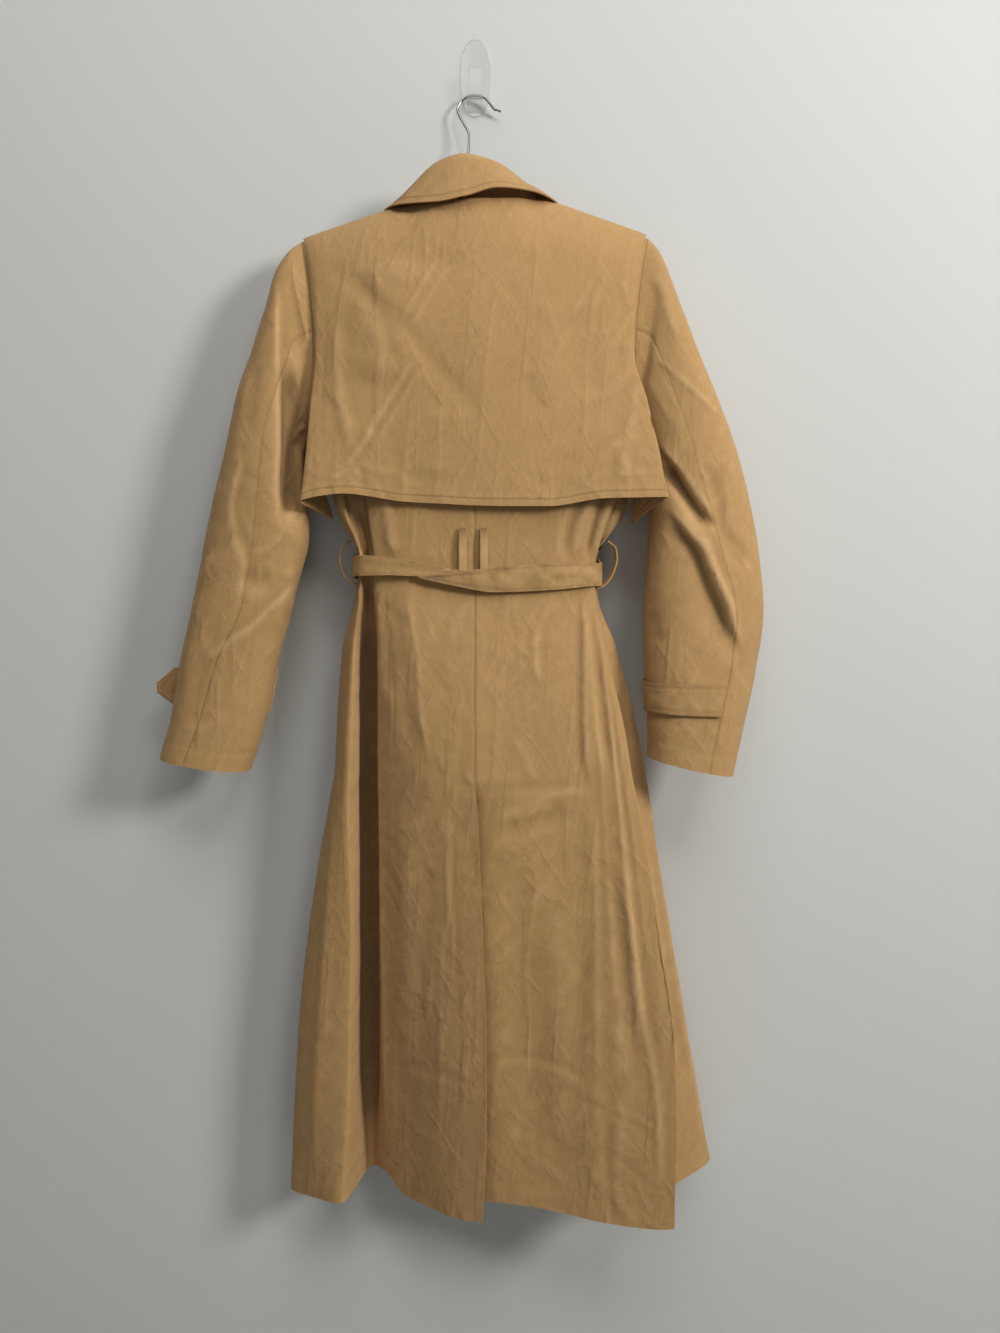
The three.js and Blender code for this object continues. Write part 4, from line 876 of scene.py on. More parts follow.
flapHeights = spaced(flapLevels[0], flapLevels[-1], flapMade["rows"], fineStart=[1, 2],
                     fineEnd=[0.8, 1.8, 3.2, 4.8, 6, 6.7, 7.2, 7.7, 8.4, 9.6, 11.2])
flapPlaces = np.unique(np.round(np.concatenate([
    np.linspace(0, 2, 30), np.linspace(2, 10, 190), np.linspace(10, 12, 30)]), 5))
flapBase = hungPoints(flapLines, flapLevels, flapPlaces, flapHeights, True, flapMade["free"], flapMade["rise"])
fx, fz = flapBase[..., 0], flapBase[..., 2]
flapHem = fz - flapBase[-1:, :, 2]
flapHeight = creaseHeight(fx, fz, flapCreases) + wrinkled(fx, fz, 51, 1.0) * smooth(-175, -215, fz)
flapHeight *= smooth(0, 3, flapPlaces)[None, :] * smooth(0, 3, len(flapLines) - 1 - flapPlaces)[None, :] * 0.5 + 0.5
# painted: crests lighter (wear and painted sheen), painted shade in the troughs
flapFold = crests(flapHeight)
flapHeight += 0.35 * (1 - smooth(flapMade["stitch"] + 3, flapMade["stitch"] + 6, flapHem))
flapHeight -= 0.5 * bell(flapHem - flapMade["stitch"], 0.8)
flapHeight += 0.8 * lumps(fx, fz * 0.2, 11, 61) * bell(flapHem, 14)
# painted shade along the hem's stitch groove
flapFold -= 0.6 * bell(flapHem - flapMade["stitch"], 1.1)
flapDone = raised(flapBase, flapHeight)
clothShell("stormFlap", flapDone, thick=1.3, material=twill, fold=flapFold,
           nodes=["storm_flap"], rests=["backLeftHalf", "backRightHalf"])
print("storm flap made")


# ---- collar ----
# Stations round the neck from the left front to the right front: fold, edge and seam as (x, off, z).
collarStations = [
    ((-40, 20, -188), (-92, 8, -236), (-46, 23, -196)),
    ((-62, 30, -158), (-112, 14, -190), (-66, 32, -171)),
    ((-70, 46, -146), (-104, 46, -161), (-76, 47, -156.5)),
    ((-62, 62, -134), (-88, 72, -163), (-66, 62, -157.5)),
    ((-40, 71, -117), (-42, 92, -166), (-36, 71, -158.5)),
    ((-12, 74, -110), (-8, 97, -161), (-6, 75, -160)),
    ((24, 72, -118), (26, 96, -152), (34, 71, -157.5)),
    ((60, 60, -139), (62, 84, -151), (66, 62, -153.5)),
    ((72, 44, -143), (97, 53, -157), (76, 46, -151)),
    ((64, 28, -162), (106, 14, -180), (66, 30, -169)),
    ((42, 16, -190), (92, 6, -232), (46, 22, -196)),
]
collarMade = {"thick": 1.6, "standDrop": 2.8, "below": 3, "standInset": 1.7, "stitch": 6.5}
# how far in and down the fall turns over the stand
collarLip = [(5.2, 2.7), (4.5, 1.5), (2.8, 0.8), (1.1, 0.4)]


def roundNeck(where, part):
    points = np.array([station[part] for station in collarStations], float)
    points[:, 1] *= -1
    return curve(np.arange(len(collarStations)), points, where)


collarPlaces = np.linspace(0, 10, 150)
fallDown = np.unique(np.round(np.concatenate([
    np.linspace(0, 0.25, 10), np.linspace(0.25, 0.8, 16), np.linspace(0.8, 1, 13)]), 5))
foldLine, edgeLine = roundNeck(collarPlaces, 0), roundNeck(collarPlaces, 1)
down = fallDown[:, None, None]
fallBase = foldLine[None] * (1 - down) + edgeLine[None] * down
proud = 4 * np.sin(math.pi * np.sqrt(down))
fallBase = fallBase + proud * np.array([0, -0.5, 0.6])
along = np.gradient(foldLine, axis=0)
inward = np.stack([-along[:, 1], along[:, 0], 0 * along[:, 0]], axis=-1)
inward /= np.linalg.norm(inward, axis=1, keepdims=True)
lip = np.array([foldLine + inward * far - np.array([0, 0, low]) for far, low in collarLip])
fallBase = np.concatenate([lip, fallBase])
fallDown = np.concatenate([np.zeros(len(lip)), fallDown])
fallDeep = np.linalg.norm(edgeLine - foldLine, axis=1)[None, :] * (1 - fallDown[:, None])
collarCreases = {
    "left dent": ("dent", 6, 0.8, [(-62, -158), (-46, -146), (-30, -132)]),
    "left ridge": ("fold", 2.4, 0.8, [(-78, -162), (-58, -152), (-44, -138)]),
    "middle dent": ("dent", 9, 0.6, [(-14, -152), (-8, -138), (2, -124)]),
    "right ridge": ("fold", 3, 0.8, [(18, -142), (34, -136), (52, -142)]),
    "fold line": ("fold", 3, 0.8, [(-30, -122), (-10, -115), (16, -119)]),
}
fallHeight = creaseHeight(fallBase[..., 0], fallBase[..., 2], collarCreases)
fallHeight += wrinkled(fallBase[..., 0], fallBase[..., 2], 71, 0.25)
fallHeight *= smooth(0, 0.12, fallDown)[:, None]
# painted: crests lighter (wear and painted sheen), painted shade in the troughs and along the stitch groove
fallFold = crests(fallHeight) - 0.9 * bell(fallDeep - collarMade["stitch"], 1.1)
fallHeight -= 0.45 * bell(fallDeep - collarMade["stitch"], 0.9)
fallDone = raised(fallBase, fallHeight)
clothShell("collarFall", fallDone, thick=collarMade["thick"], material=twillFine, fold=fallFold,
           nodes=["collar_fall"], rests=["collarStand"])
standDown = np.linspace(0, 1, 12)[:, None, None]
standTop = (foldLine + np.array([0, 0, -collarMade["standDrop"]]))[None]
standFoot = (roundNeck(collarPlaces, 2) + np.array([0, 0, -collarMade["below"]]))[None]
standBase = standTop * (1 - standDown) + standFoot * standDown
standBase = raised(standBase, np.full(standBase.shape[:2], -collarMade["standInset"]))
clothShell("collarStand", standBase, thick=1.4, material=twillFine, nodes=["collar_stand"], rests=rests)
print("collar made")


# ---- sleeves ----
# Rings down a sleeve: outer edge (x, z), inner edge (x, z), off and how deep the ring is to each side of it.
sleeveRings = {
    "left": [
        ((-211, -207), (-186.5, -409), 50, 30), ((-228, -232), (-188, -411), 52, 34),
        ((-239, -270), (-191, -416), 53, 37), ((-254, -315), (-196, -426), 55, 39),
        ((-272, -362), (-200, -440), 57, 40), ((-292, -441), (-200, -478), 60, 40),
        ((-312, -517), (-196, -528), 63, 39), ((-332, -608), (-214, -604), 66, 37),
        ((-350, -683), (-235, -682), 69, 36), ((-362, -745), (-251, -752), 72, 36),
        ((-375, -793), (-270, -809), 75, 36),
    ],
    "right": [
        ((209, -205), (187, -409), 50, 30), ((222, -232), (189, -411), 52, 34),
        ((238, -272), (192, -416), 53, 37), ((258, -322), (196, -428), 55, 39),
        ((280, -372), (200, -446), 57, 40), ((300, -424), (203, -474), 60, 40),
        ((318, -484), (204, -512), 63, 40), ((331, -550), (202, -562), 67, 40),
        ((338, -620), (199, -628), 71, 40), ((329, -690), (200, -690), 78, 38),
        ((318, -742), (203, -738), 84, 36), ((304, -812), (204, -790), 88, 34),
    ],
}
sleeveMade = {"square": 0.86, "front": 0.69, "hemTurn": 24}
backSeamTurn = {
    "left": ([0, 7, 8, 9, 10, 11], [0.25, 0.255, 0.262, 0.232, 0.215, 0.2]),
    "right": ([0, 6, 8, 9, 10, 11, 12], [0.25, 0.25, 0.22, 0.19, 0.187, 0.199, 0.207]),
}


def sleevePoints(name, side, rings, turns):  # turns may be one list for all rings, or rings x turns
    rows = sleeveRings[name]
    turns = np.broadcast_to(turns, (len(rings), np.shape(turns)[-1]))
    result = np.empty(turns.shape + (3,))
    for i, ring in enumerate(rings):
        angle = turns[i] * 2 * math.pi
        head = armholeLoop(side, angle)
        head[:, 0] += side * 0.4
        bend = lambda value: np.sign(value) * np.abs(value) ** sleeveMade["square"]
        across = (1 - bend(np.cos(angle))) / 2
        out = bend(np.sin(angle))
        points = [head]
        for outer, inner, off, deep in rows:
            points.append(np.stack([outer[0] + (inner[0] - outer[0]) * across, -(off + deep * out),
                                    outer[1] + (inner[1] - outer[1]) * across], axis=-1))
        result[i] = curve(np.arange(len(points)), points, [ring])[0]
    return result


def sleeveTurns(name, rings, part, count):
    back = curve(*backSeamTurn[name], rings)
    front = sleeveMade["front"] + 0 * back
    start, end = (front - 1, back) if part == "top" else (back, front)
    fine = np.unique(np.concatenate([np.linspace(0, 1, count), [0.006, 0.016, 0.984, 0.994]]))
    return start[:, None] + (end - start)[:, None] * fine[None, :]


leftSleeveCreases = {
    "lit panel edge": ("ledge", 3.2, 5.2,
        [(-222, -244), (-219, -284), (-218, -330), (-218, -371), (-218, -430), (-221, -478), (-220, -532)]),
    "underarm hollow": ("dent", 13, 8.5,
        [(-212, -334), (-207, -375), (-205, -423), (-208, -471), (-210, -520)]),
    "shoulder pleat": ("fold", 4, 2.4,
        [(-206, -217), (-204, -244), (-198, -274), (-192, -301), (-190, -311), (-197, -322), (-203, -330)]),
    "cross crease": ("fold", 2.8, 1.6, [(-219, -329), (-211, -331), (-202, -330)]),
    "underarm edge": ("fold", 3.4, 2.6, [(-189, -404), (-195, -409), (-200, -415), (-202, -442)]),
    "elbow, long": ("ledge", 2.2, 1.5,
        [(-271, -428), (-263, -452), (-269, -475), (-275, -502), (-270, -532), (-261, -557), (-265, -592),
         (-276, -629)]),
    "elbow, across": ("fold", 2.6, 1.5, [(-261, -557), (-240, -549), (-225, -537), (-215, -520)]),
    "elbow, lower": ("ledge", 2.2, 1.7,
        [(-312, -673), (-283, -648), (-261, -634), (-242, -616), (-224, -599), (-202, -574)]),
    "elbow hollow": ("dent", 11, 2.4, [(-262, -566), (-249, -582), (-232, -576)]),
    "elbow, short": ("fold", 2.4, 1.3, [(-314, -624), (-315, -641), (-313, -659), (-303, -664)]),
    "panel line": ("fold", 2.6, 0.9,
        [(-304, -532), (-310, -568), (-318, -605), (-329, -654), (-338, -703)]),
    "upper dent": ("dent", 9, 1.4, [(-245, -336), (-251, -380), (-257, -424)]),
    "lower dent": ("dent", 10, 1.3, [(-309, -663), (-320, -709), (-331, -756)]),
    "inner ripple": ("ridge", 6, 1.6, [(-209, -560), (-220, -596), (-232, -640)]),
    "fine crease 1": ("fold", 2.2, 0.8, [(-297, -484), (-279, -475), (-263, -472)]),
    "fine crease 2": ("fold", 2.2, 0.8, [(-255, -605), (-249, -580), (-243, -562)]),
}
rightSleeveCreases = {
    "pressed crease": ("fold", 2.8, 2.0, [(195, -325), (224, -350), (254, -376), (284, -402)]),
    "elbow fold edge": ("ledge", 3.2, -6.5,
        [(217, -496), (229, -515), (241, -532), (252, -546), (259, -560), (266, -577), (274, -595),
         (282, -613), (291, -635), (300, -652), (309, -668)]),
    "elbow fold crest": ("ridge", 6, 3.0,
        [(248, -530), (261, -542), (266, -557), (273, -574), (282, -593), (290, -610), (299, -633)]),
    "upper fold edge": ("ledge", 2.6, -3.6,
        [(207, -422), (215, -439), (228, -458), (239, -477), (252, -498), (262, -510), (279, -520)]),
    "armpit recess": ("dent", 8, 6.5, [(213, -448), (225, -467), (240, -486), (256, -508), (270, -526)]),
    "upper trough": ("dent", 10, 3.2, [(268, -446), (274, -486), (282, -522), (300, -551), (315, -573)]),
    "pressed, upright": ("fold", 2.6, 1.3, [(288, -576), (289, -610), (291, -644)]),
    "pinch": ("dent", 2.4, 1.6, [(257, -553), (262, -560), (269, -547)]),
    "forearm dent": ("dent", 7, 1.4, [(204, -615), (207, -635), (212, -655)]),
    "second crease": ("fold", 2.6, 1.6, [(287, -539), (305, -559), (318, -575)]),
    "armhole ridge": ("ridge", 7, 2.0, [(200, -230), (217, -271), (227, -314)]),
    "upper crease": ("fold", 2.4, 1.1, [(248, -451), (256, -461), (265, -472)]),
}
frontSleeveCreases = {  # on the side that faces the wall
    "left, elbow": ("fold", 4, 1.8, [(-220, -560), (-250, -580), (-290, -570)]),
    "left, upper": ("dent", 12, 2.0, [(-230, -330), (-244, -400), (-250, -470)]),
    "left, lower": ("dent", 11, 1.8, [(-270, -620), (-290, -680), (-310, -740)]),
    "right, elbow": ("fold", 4, 1.8, [(220, -560), (260, -590), (300, -570)]),
    "right, upper": ("dent", 12, 2.0, [(230, -330), (250, -400), (262, -470)]),
    "right, lower": ("ridge", 9, 1.8, [(240, -620), (250, -680), (256, -740)]),
}


def sleeveHeight(name, grid, normal, seed):
    x, z = grid[..., 0], grid[..., 2]
    facing = smooth(0.05, 0.45, -normal[..., 1])
    behind = smooth(0.05, 0.45, normal[..., 1])
    creases = leftSleeveCreases if name == "left" else rightSleeveCreases
    placed = creaseHeight(x, z, creases) * facing + creaseHeight(x, z, frontSleeveCreases) * behind
    rough = wrinkled(x, z, seed) * facing + wrinkled(x, z, seed + 5) * (1 - facing)
    return placed, placed + rough * smooth(0, 30, np.abs(z - grid[:1, :, 2]))


def addSleeve(name, side, seed):
    rows = len(sleeveRings[name])
    rings = spaced(0, rows, 0.052, fineEnd=[0.012, 0.03, 0.06, 0.1, 0.15, 0.22, 0.3, 0.4, 0.44, 0.48, 0.53])
    grids = {part: sleevePoints(name, side, rings, sleeveTurns(name, rings, part, count))
             for part, count in (("top", 86), ("under", 80))}
    if side > 0:
        grids = {part: grid[:, ::-1] for part, grid in grids.items()}
    for part, other in (("top", "under"), ("under", "top")):
        grid = grids[part]
        before, after = grids[other][:, -2], grids[other][:, 1]
        normal = gridNormals(grid, before, after)
        placed, height = sleeveHeight(name, grid, normal, seed)
        first = np.linalg.norm(grid - grid[:, :1], axis=2)
        last = np.linalg.norm(grid - grid[:, -1:], axis=2)
        # painted: crests lighter (wear and painted sheen), painted shade in the placed dents, troughs and along both
        # seams
        fold = crests(height) - hollows(placed) - 0.5 * bell(np.minimum(first, last), 1.6)
        for away in (first, last):
            hidden = 1 - 0.7 * smooth(-310, -350, grid[..., 2]) * smooth(-610, -560, grid[..., 2])
            height = height + seamDip(away, grid[..., 2], 1.5, 0.7, 0.45, seed + 3) * hidden
        hemAway = np.linalg.norm(grid - grid[-1:], axis=2)
        height = height + hemRidge(hemAway, sleeveMade["hemTurn"], 0.4)
        # painted shade along the hem's turn line
        fold = fold - 0.35 * bell(hemAway - sleeveMade["hemTurn"], 2)
        done = grid + normal * height[..., None]
        clothShell("sleeve%s%s" % (name.title(), part.title()), done, material=twill, fold=fold,
                   before=before, after=after, nodes=["sleeve_%s_%s" % (name, part)], rests=["back%sHalf" % name.title()])


addSleeve("left", -1, 81)
addSleeve("right", 1, 91)
print("sleeves made")


# ---- cuff straps ----
straps = {
    "left": {"side": -1, "top": 9.1, "bottom": 9.85, "start": 0.55, "end": 0.9, "out": 2.8},
    "right": {"side": 1, "top": 10.2, "bottom": 10.95, "start": 0.2, "end": 0.7, "out": 4.2},
}
strapTip = {"tip": (-381, -66, -711), "neck": (-364, -52)}
stitchPaths = []  # (points, outward directions) of each row of stitching


def addStrap(name):
    strap = straps[name]
    rings = np.linspace(strap["top"], strap["bottom"], 22)
    turns = np.linspace(strap["start"], strap["end"], 90)
    grid = sleevePoints(name, strap["side"], rings, turns)
    if strap["side"] > 0:
        grid = grid[:, ::-1]
    grid = raised(grid, np.full(grid.shape[:2], strap["out"]))
    if name == "left":  # the free end stands off the sleeve and comes to a point
        z = grid[:, -1:, 2]
        spread = np.linspace(0, 1, 16)[None, 1:, None]
        neck = np.concatenate([np.full_like(z, strapTip["neck"][0]), np.full_like(z, strapTip["neck"][1]), z],
                              axis=1)[:, None]
        tip = np.concatenate([np.full_like(z, strapTip["tip"][0]), np.full_like(z, strapTip["tip"][1]),
                              strapTip["tip"][2] + (z - strapTip["tip"][2]) * 0.25], axis=1)[:, None]
        last = grid[:, -1:]
        grid = np.concatenate([grid, last + (neck - last) * spread, neck + (tip - neck) * spread], axis=1)
    down = np.linspace(0, 1, 22)[:, None] * np.linalg.norm(grid[0] - grid[-1], axis=1)[None, :]
    deep = np.linalg.norm(grid[0] - grid[-1], axis=1)[None, :]
    height = 0.35 * lumps(grid[..., 0], grid[..., 2], 9, 17)
    # painted: lighter on the lumps, painted shade in the dips, along the strap's edges and in its stitch rows
    fold = height - 0.9 * bell(np.minimum(down, deep - down), 1.4)
    for away in (down - 4.5, deep - down - 4.5):
        height = height - 0.7 * bell(away, 1.0)
        fold = fold - 0.9 * bell(away, 1.1)
    height = height - 0.5 * bell(np.minimum(down, deep - down), 1.2)
    done = raised(grid, height)
    clothShell("cuffStrap" + name.title(), done, thick=2.0, material=twillFine, fold=fold,
               nodes=["cuff_strap_" + name], held="laid", rests=["sleeve%sUnder" % name.title()])
    normal = gridNormals(done)
    for row in (3, 5, 18):
        stitchPaths.append((done[row], normal[row]))


addStrap("left")
addStrap("right")
print("cuff straps made")


# ---- belt ----
beltMade = {"thick": 2.2, "stitch": 3.2}
# x, off, top, bottom: the strip that comes from the front round the right side and ends in a twist at the back
beltRight = [
    (-66, 17, -550, -586), (40, 19, -550, -586), (118, 27, -552, -587), (147.6, 46, -558, -589),
    (148.5, 70, -564, -590),
    (134, 91, -563, -590), (84, 102.5, -564, -594), (24, 107, -568, -596), (-22, 109, -573, -589),
    (-48, 108.6, -576, -583.5),
    (-64, 107.6, -577.5, -580),
]
# the strip that goes on from under the twist round the left side to the other end
beltLeft = [
    (26, 104.2, -572, -586), (-22, 104.6, -570, -580), (-64, 104, -561, -578.5), (-104, 100, -556, -577),
    (-132, 91, -554, -578),
    (-142.5, 73, -555, -580), (-141, 46, -553, -583), (-112, 26, -552, -585), (-20, 21.5, -551, -585),
]


def addBelt(name, rows, nodes, reverse):
    order = np.arange(len(rows))
    places = np.linspace(0, len(rows) - 1, 190)
    if reverse:
        places = places[::-1]
    line = curve(order, rows, places)
    down = np.array([0, 0.03, 0.08, 0.16, 0.3, 0.5, 0.7, 0.84, 0.92, 0.97, 1])
    tall = line[:, 2] - line[:, 3]
    grid = np.empty((len(down), len(places), 3))
    grid[..., 0], grid[..., 1] = line[:, 0], -line[:, 1]
    grid[..., 2] = line[:, 2] - down[:, None] * tall
    edge = np.minimum(down, 1 - down)[:, None] * tall[None, :]
    height = 0.5 * (1 - np.exp(-edge / 2.5)) - 0.6 * bell(edge - beltMade["stitch"], 0.9)
    height += 0.7 * lumps(grid[..., 0] * 0.8 + grid[..., 1], grid[..., 2] * 1.3, 13, 23)
    height += 0.4 * lumps(grid[..., 0], grid[..., 2] * 2, 5, 24)
    # painted: painted shade along the belt's edges and stitch rows, lighter or darker with its lumps
    fold = height - 0.4 - 0.7 * bell(edge - beltMade["stitch"], 1.1)
    done = raised(grid, height)
    clothShell(name, done, thick=beltMade["thick"], material=twillFine, fold=fold, nodes=nodes, held="laid",
               rests=["backRightHalf", "backLeftHalf"])
    normal = gridNormals(done)
    for row in (3, 7) if name == "beltRight" else (3,):
        stitchPaths.append((done[row, 6:-6], normal[row, 6:-6]))


addBelt("beltRight", beltRight, ["belt"], True)
addBelt("beltLeft", beltLeft, [], False)


# ---- belt loops ----
def lineAt(lines, x, height):  # fold line place at which the back has this x
    low, high = 0.0, len(lines) - 1.0
    for turn in range(22):
        middle = (low + high) / 2
        if panelPoints(lines, [middle], [height], True)[0, 0, 0] < x:
            low = middle
        else:
            high = middle
    return low


backLoop = {"wide": 9, "gap": 1.3, "top": -523, "bottom": -592, "thick": 2.0, "left": -13.5, "right": 10.5}
for name in ("left", "right"):
    middle = backLoop[name]
    loopHeights = np.linspace(backLoop["top"], backLoop["bottom"], 34)
    across = np.array([-0.5, -0.42, -0.3, -0.15, 0, 0.15, 0.3, 0.42, 0.5])
    lines = backLeft if middle < 0 else backRight
    grid = np.empty((len(loopHeights), len(across), 3))
    for j, part in enumerate(across):
        for i, height in enumerate(loopHeights):
            x = middle + part * backLoop["wide"]
            grid[i, j] = panelPoints(lines, [lineAt(lines, x, height)], [height], True)[0, 0]
    bow = 3.4 * np.sin(np.linspace(0, 1, 34) * math.pi) ** 0.7
    lift = backLoop["gap"] + backLoop["thick"] + np.repeat(bow[:, None], len(across), axis=1)
    lift -= 0.5 * bell(0.5 - np.abs(across[None, :]), 0.06) - 0.2 * lumps(grid[..., 0], grid[..., 2], 6, 19)
    done = raised(grid, lift)
    # painted: each loop lighter where it bows out, painted shade at its ends and edges
    clothShell("backLoop" + name.title(), done, thick=backLoop["thick"], material=twillFine,
               fold=lift - lift.mean(), nodes=["back_loop_" + name], held="laid", rests=["back%sHalf" % name.title()])
    normal = gridNormals(done)
    stitchPaths.append((done[:26, 1], normal[:26, 1]))
    stitchPaths.append((done[:26, 7], normal[:26, 7]))

# the slack loops at the sides stand out round the belt
sideLoops = {
    "left": {"off": 61, "wide": 9, "lean": 2.6, "x": (-148.4, -158, -162, -159.5, -153, -146, -141),
             "z": (-537, -545, -559, -573, -583, -587.5, -589.5), "side": -1},
    "right": {"off": 66, "wide": 9, "lean": 2.2, "x": (155.8, 165, 166.5, 163, 156.5, 151, 144),
              "z": (-537, -546, -558, -573, -585.5, -591, -594), "side": 1},
}
for name, loop in sideLoops.items():
    places = np.linspace(0, 6, 48)
    way = curve(np.arange(7), np.stack([loop["x"], loop["z"]], axis=1), places)
    across = np.array([-0.5, -0.4, -0.2, 0, 0.2, 0.4, 0.5])
    grid = np.empty((len(places), len(across), 3))
    lean = loop["lean"] * np.sin(places / 6 * math.pi)
    grid[..., 0] = way[:, :1] + loop["side"] * lean[:, None] * across[None, :] * -1.0
    grid[..., 1] = -loop["off"] + loop["side"] * across[None, :] * loop["wide"]
    grid[..., 2] = way[:, 1:2]
    clothShell("sideLoop" + name.title(), grid, thick=1.8, material=twillFine,
               nodes=["side_loop_" + name], held="laid", rests=["belt" + name.title()])

# ---- lapels, and the wrap of the tied belt, on the side that faces the wall ----
lapelMade = {"gap": 1.2, "thick": 1.3, "inner": (-238, -330), "at": (0, 0.6, 1),
             "x": (112, 68, 26), "z": (-250, -300, -334)}
for name, lines, side in (("left", frontLeft, -1), ("right", frontRight, 1)):
    edgeLine = 0 if side < 0 else len(lines) - 1
    rows = np.linspace(0, 1, 34)
    grid = np.empty((34, 22, 3))
    for i, downPart in enumerate(rows):
        z0 = lapelMade["inner"][0] + (lapelMade["inner"][1] - lapelMade["inner"][0]) * downPart
        x0 = side * panelPoints(lines, [edgeLine], [z0], False)[0, 0, 0] + 1.5
        x1 = max(curve(lapelMade["at"], lapelMade["x"], [downPart])[0], x0 + 3)
        z1 = curve(lapelMade["at"], lapelMade["z"], [downPart])[0]
        for j, part in enumerate(np.linspace(1, 0, 22)):
            x, z = side * (x0 + (x1 - x0) * part), z0 + (z1 - z0) * part
            line = panelPoints(lines, np.linspace(0, len(lines) - 1, 60), [z], False)[0]
            order = np.argsort(line[:, 0])
            off = -np.interp(x, line[order, 0], line[order, 1])
            roll = 2.2 * math.exp(-part * 7)
            grid[i, j] = (x, -(off - lapelMade["gap"] - lapelMade["thick"] - roll), z)
    if side < 0:
        grid = grid[:, ::-1]
    height = 0.5 * lumps(grid[..., 0], grid[..., 2], 22, 27)
    # painted: lighter on the lumps, painted shade in the dips
    clothShell("lapel" + name.title(), raised(grid, height), thick=lapelMade["thick"],
               material=twillFine, fold=height, nodes=["lapel_" + name], held="folded", rests=["front%sHalf" % name.title()])

knot = {"x": 4, "wide": 26, "tall": 44, "off": 11, "z": -568}
up = np.linspace(1, -1, 30)[:, None]
across = np.linspace(1, -1, 24)[None, :]
grid = np.empty((30, 24, 3))
grid[..., 0] = knot["x"] + across * knot["wide"] / 2 * (1 - 0.12 * (1 - up ** 2))
grid[..., 1] = -(knot["off"] + 3.5 * np.abs(across) ** 2.4 + 2.4 * np.abs(up) ** 4)
grid[..., 2] = knot["z"] + up * knot["tall"] / 2
height = 0.9 * np.sin(across * 7 + up * 1.5) * (1 - np.abs(across))
height += 0.4 * lumps(grid[..., 0], grid[..., 2], 8, 29)
# painted: lighter on the folds' crests and lumps, painted shade in the dips
clothShell("beltKnot", raised(grid, height), thick=1.6, material=twillFine, fold=height,
           nodes=["belt_knot"], held="folded", rests=["beltRight"])
print("belt, loops and lapels made")


# ---- stitching ----
def addStitches(name, paths, pitch=3.3, length=2.3, half=0.32, rise=0.12):
    points, faces = [], []
    for way, outward in paths:
        step = np.linalg.norm(np.diff(way, axis=0), axis=1)
        run = np.concatenate([[0], np.cumsum(step)])
        for start in np.arange(0.6, run[-1] - length, pitch):
            ends = [np.array([np.interp(at, run, way[:, k]) for k in range(3)])
                    for at in (start, start + length)]
            out = np.array([np.interp(start, run, outward[:, k]) for k in range(3)])
            along = ends[1] - ends[0]
            side = np.cross(along / np.linalg.norm(along), out)
            middle = (ends[0] + ends[1]) / 2 + out * rise
            base = len(points)
            quarter = along * 0.3
            ring = []
            for shift in (-quarter, quarter):
                ring += [middle + shift + side * half, middle + shift + out * half * 0.8,
                         middle + shift - side * half, middle + shift - out * half * 0.8]
            points += [ends[0] - out * 0.1, ends[1] - out * 0.1] + ring
            for k in range(4):
                a, b = base + 2 + k, base + 2 + (k + 1) % 4
                faces += [(base, b, a), (a, b, b + 4, a + 4), (base + 1, a + 4, b + 4)]
    mesh = bpy.data.meshes.new(name)
    mesh.from_pydata((np.array(points) * 0.001).tolist(), [], faces)
    mesh.uv_layers.new(name="cut")
    mesh.update()
    work = bmesh.new()
    work.from_mesh(mesh)
    bmesh.ops.recalc_face_normals(work, faces=work.faces)
    work.to_mesh(mesh)
    work.free()
    piece = addObject(name, mesh)
    finishSurface(piece, twillThread, 80)
    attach(piece, "root")


def rowAbove(grid, distance, away, first=0, last=None):  # the way that lies so far from a grid's lower edge
    normal = gridNormals(grid)
    way, outward = [], []
    for j in range(grid.shape[1])[first:last]:
        order = np.argsort(away[:, j])
        way.append([np.interp(distance, away[order, j], grid[order, j, k]) for k in range(3)])
        outward.append([np.interp(distance, away[order, j], normal[order, j, k]) for k in range(3)])
    return np.array(way), np.array(outward)


addStitches("stitchesFlap", [rowAbove(flapDone, flapMade["stitch"], flapHem)])
addStitches("stitchesCollar", [rowAbove(fallDone, collarMade["stitch"], fallDeep)])
addStitches("stitchesTrim", stitchPaths)
print("stitching made")


# ---- buttons and eyelet ----
# turns +Z of a piece made at the origin to a direction, and keeps it in the mesh
def alignTo(piece, outward, place):
    turn = Vector((0, 0, 1)).rotation_difference(Vector(outward)).to_matrix().to_4x4()
    turn.translation = Vector(place) * 0.001
    piece.data.transform(turn)


def settle(piece, material, nodes, angle=35):
    pickOnly(piece)
    bpy.ops.object.transform_apply(location=True, rotation=True, scale=True)
    finishSurface(piece, material, angle)
    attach(piece, "root")
    if nodes:
        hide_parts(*nodes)


button = {"radius": 0.011, "thick": 0.003, "x": -60, "heights": (-440, -505, -675, -745), "gap": 0.5,
          "rim": 0.0022, "raised": 0.0004, "slope": 0.0012, "dish": 0.0012, "soft": 0.0004,
          "holeAway": 0.0032, "holeUp": 0.0023, "holeRing": 0.0013, "holeWire": 0.0004}


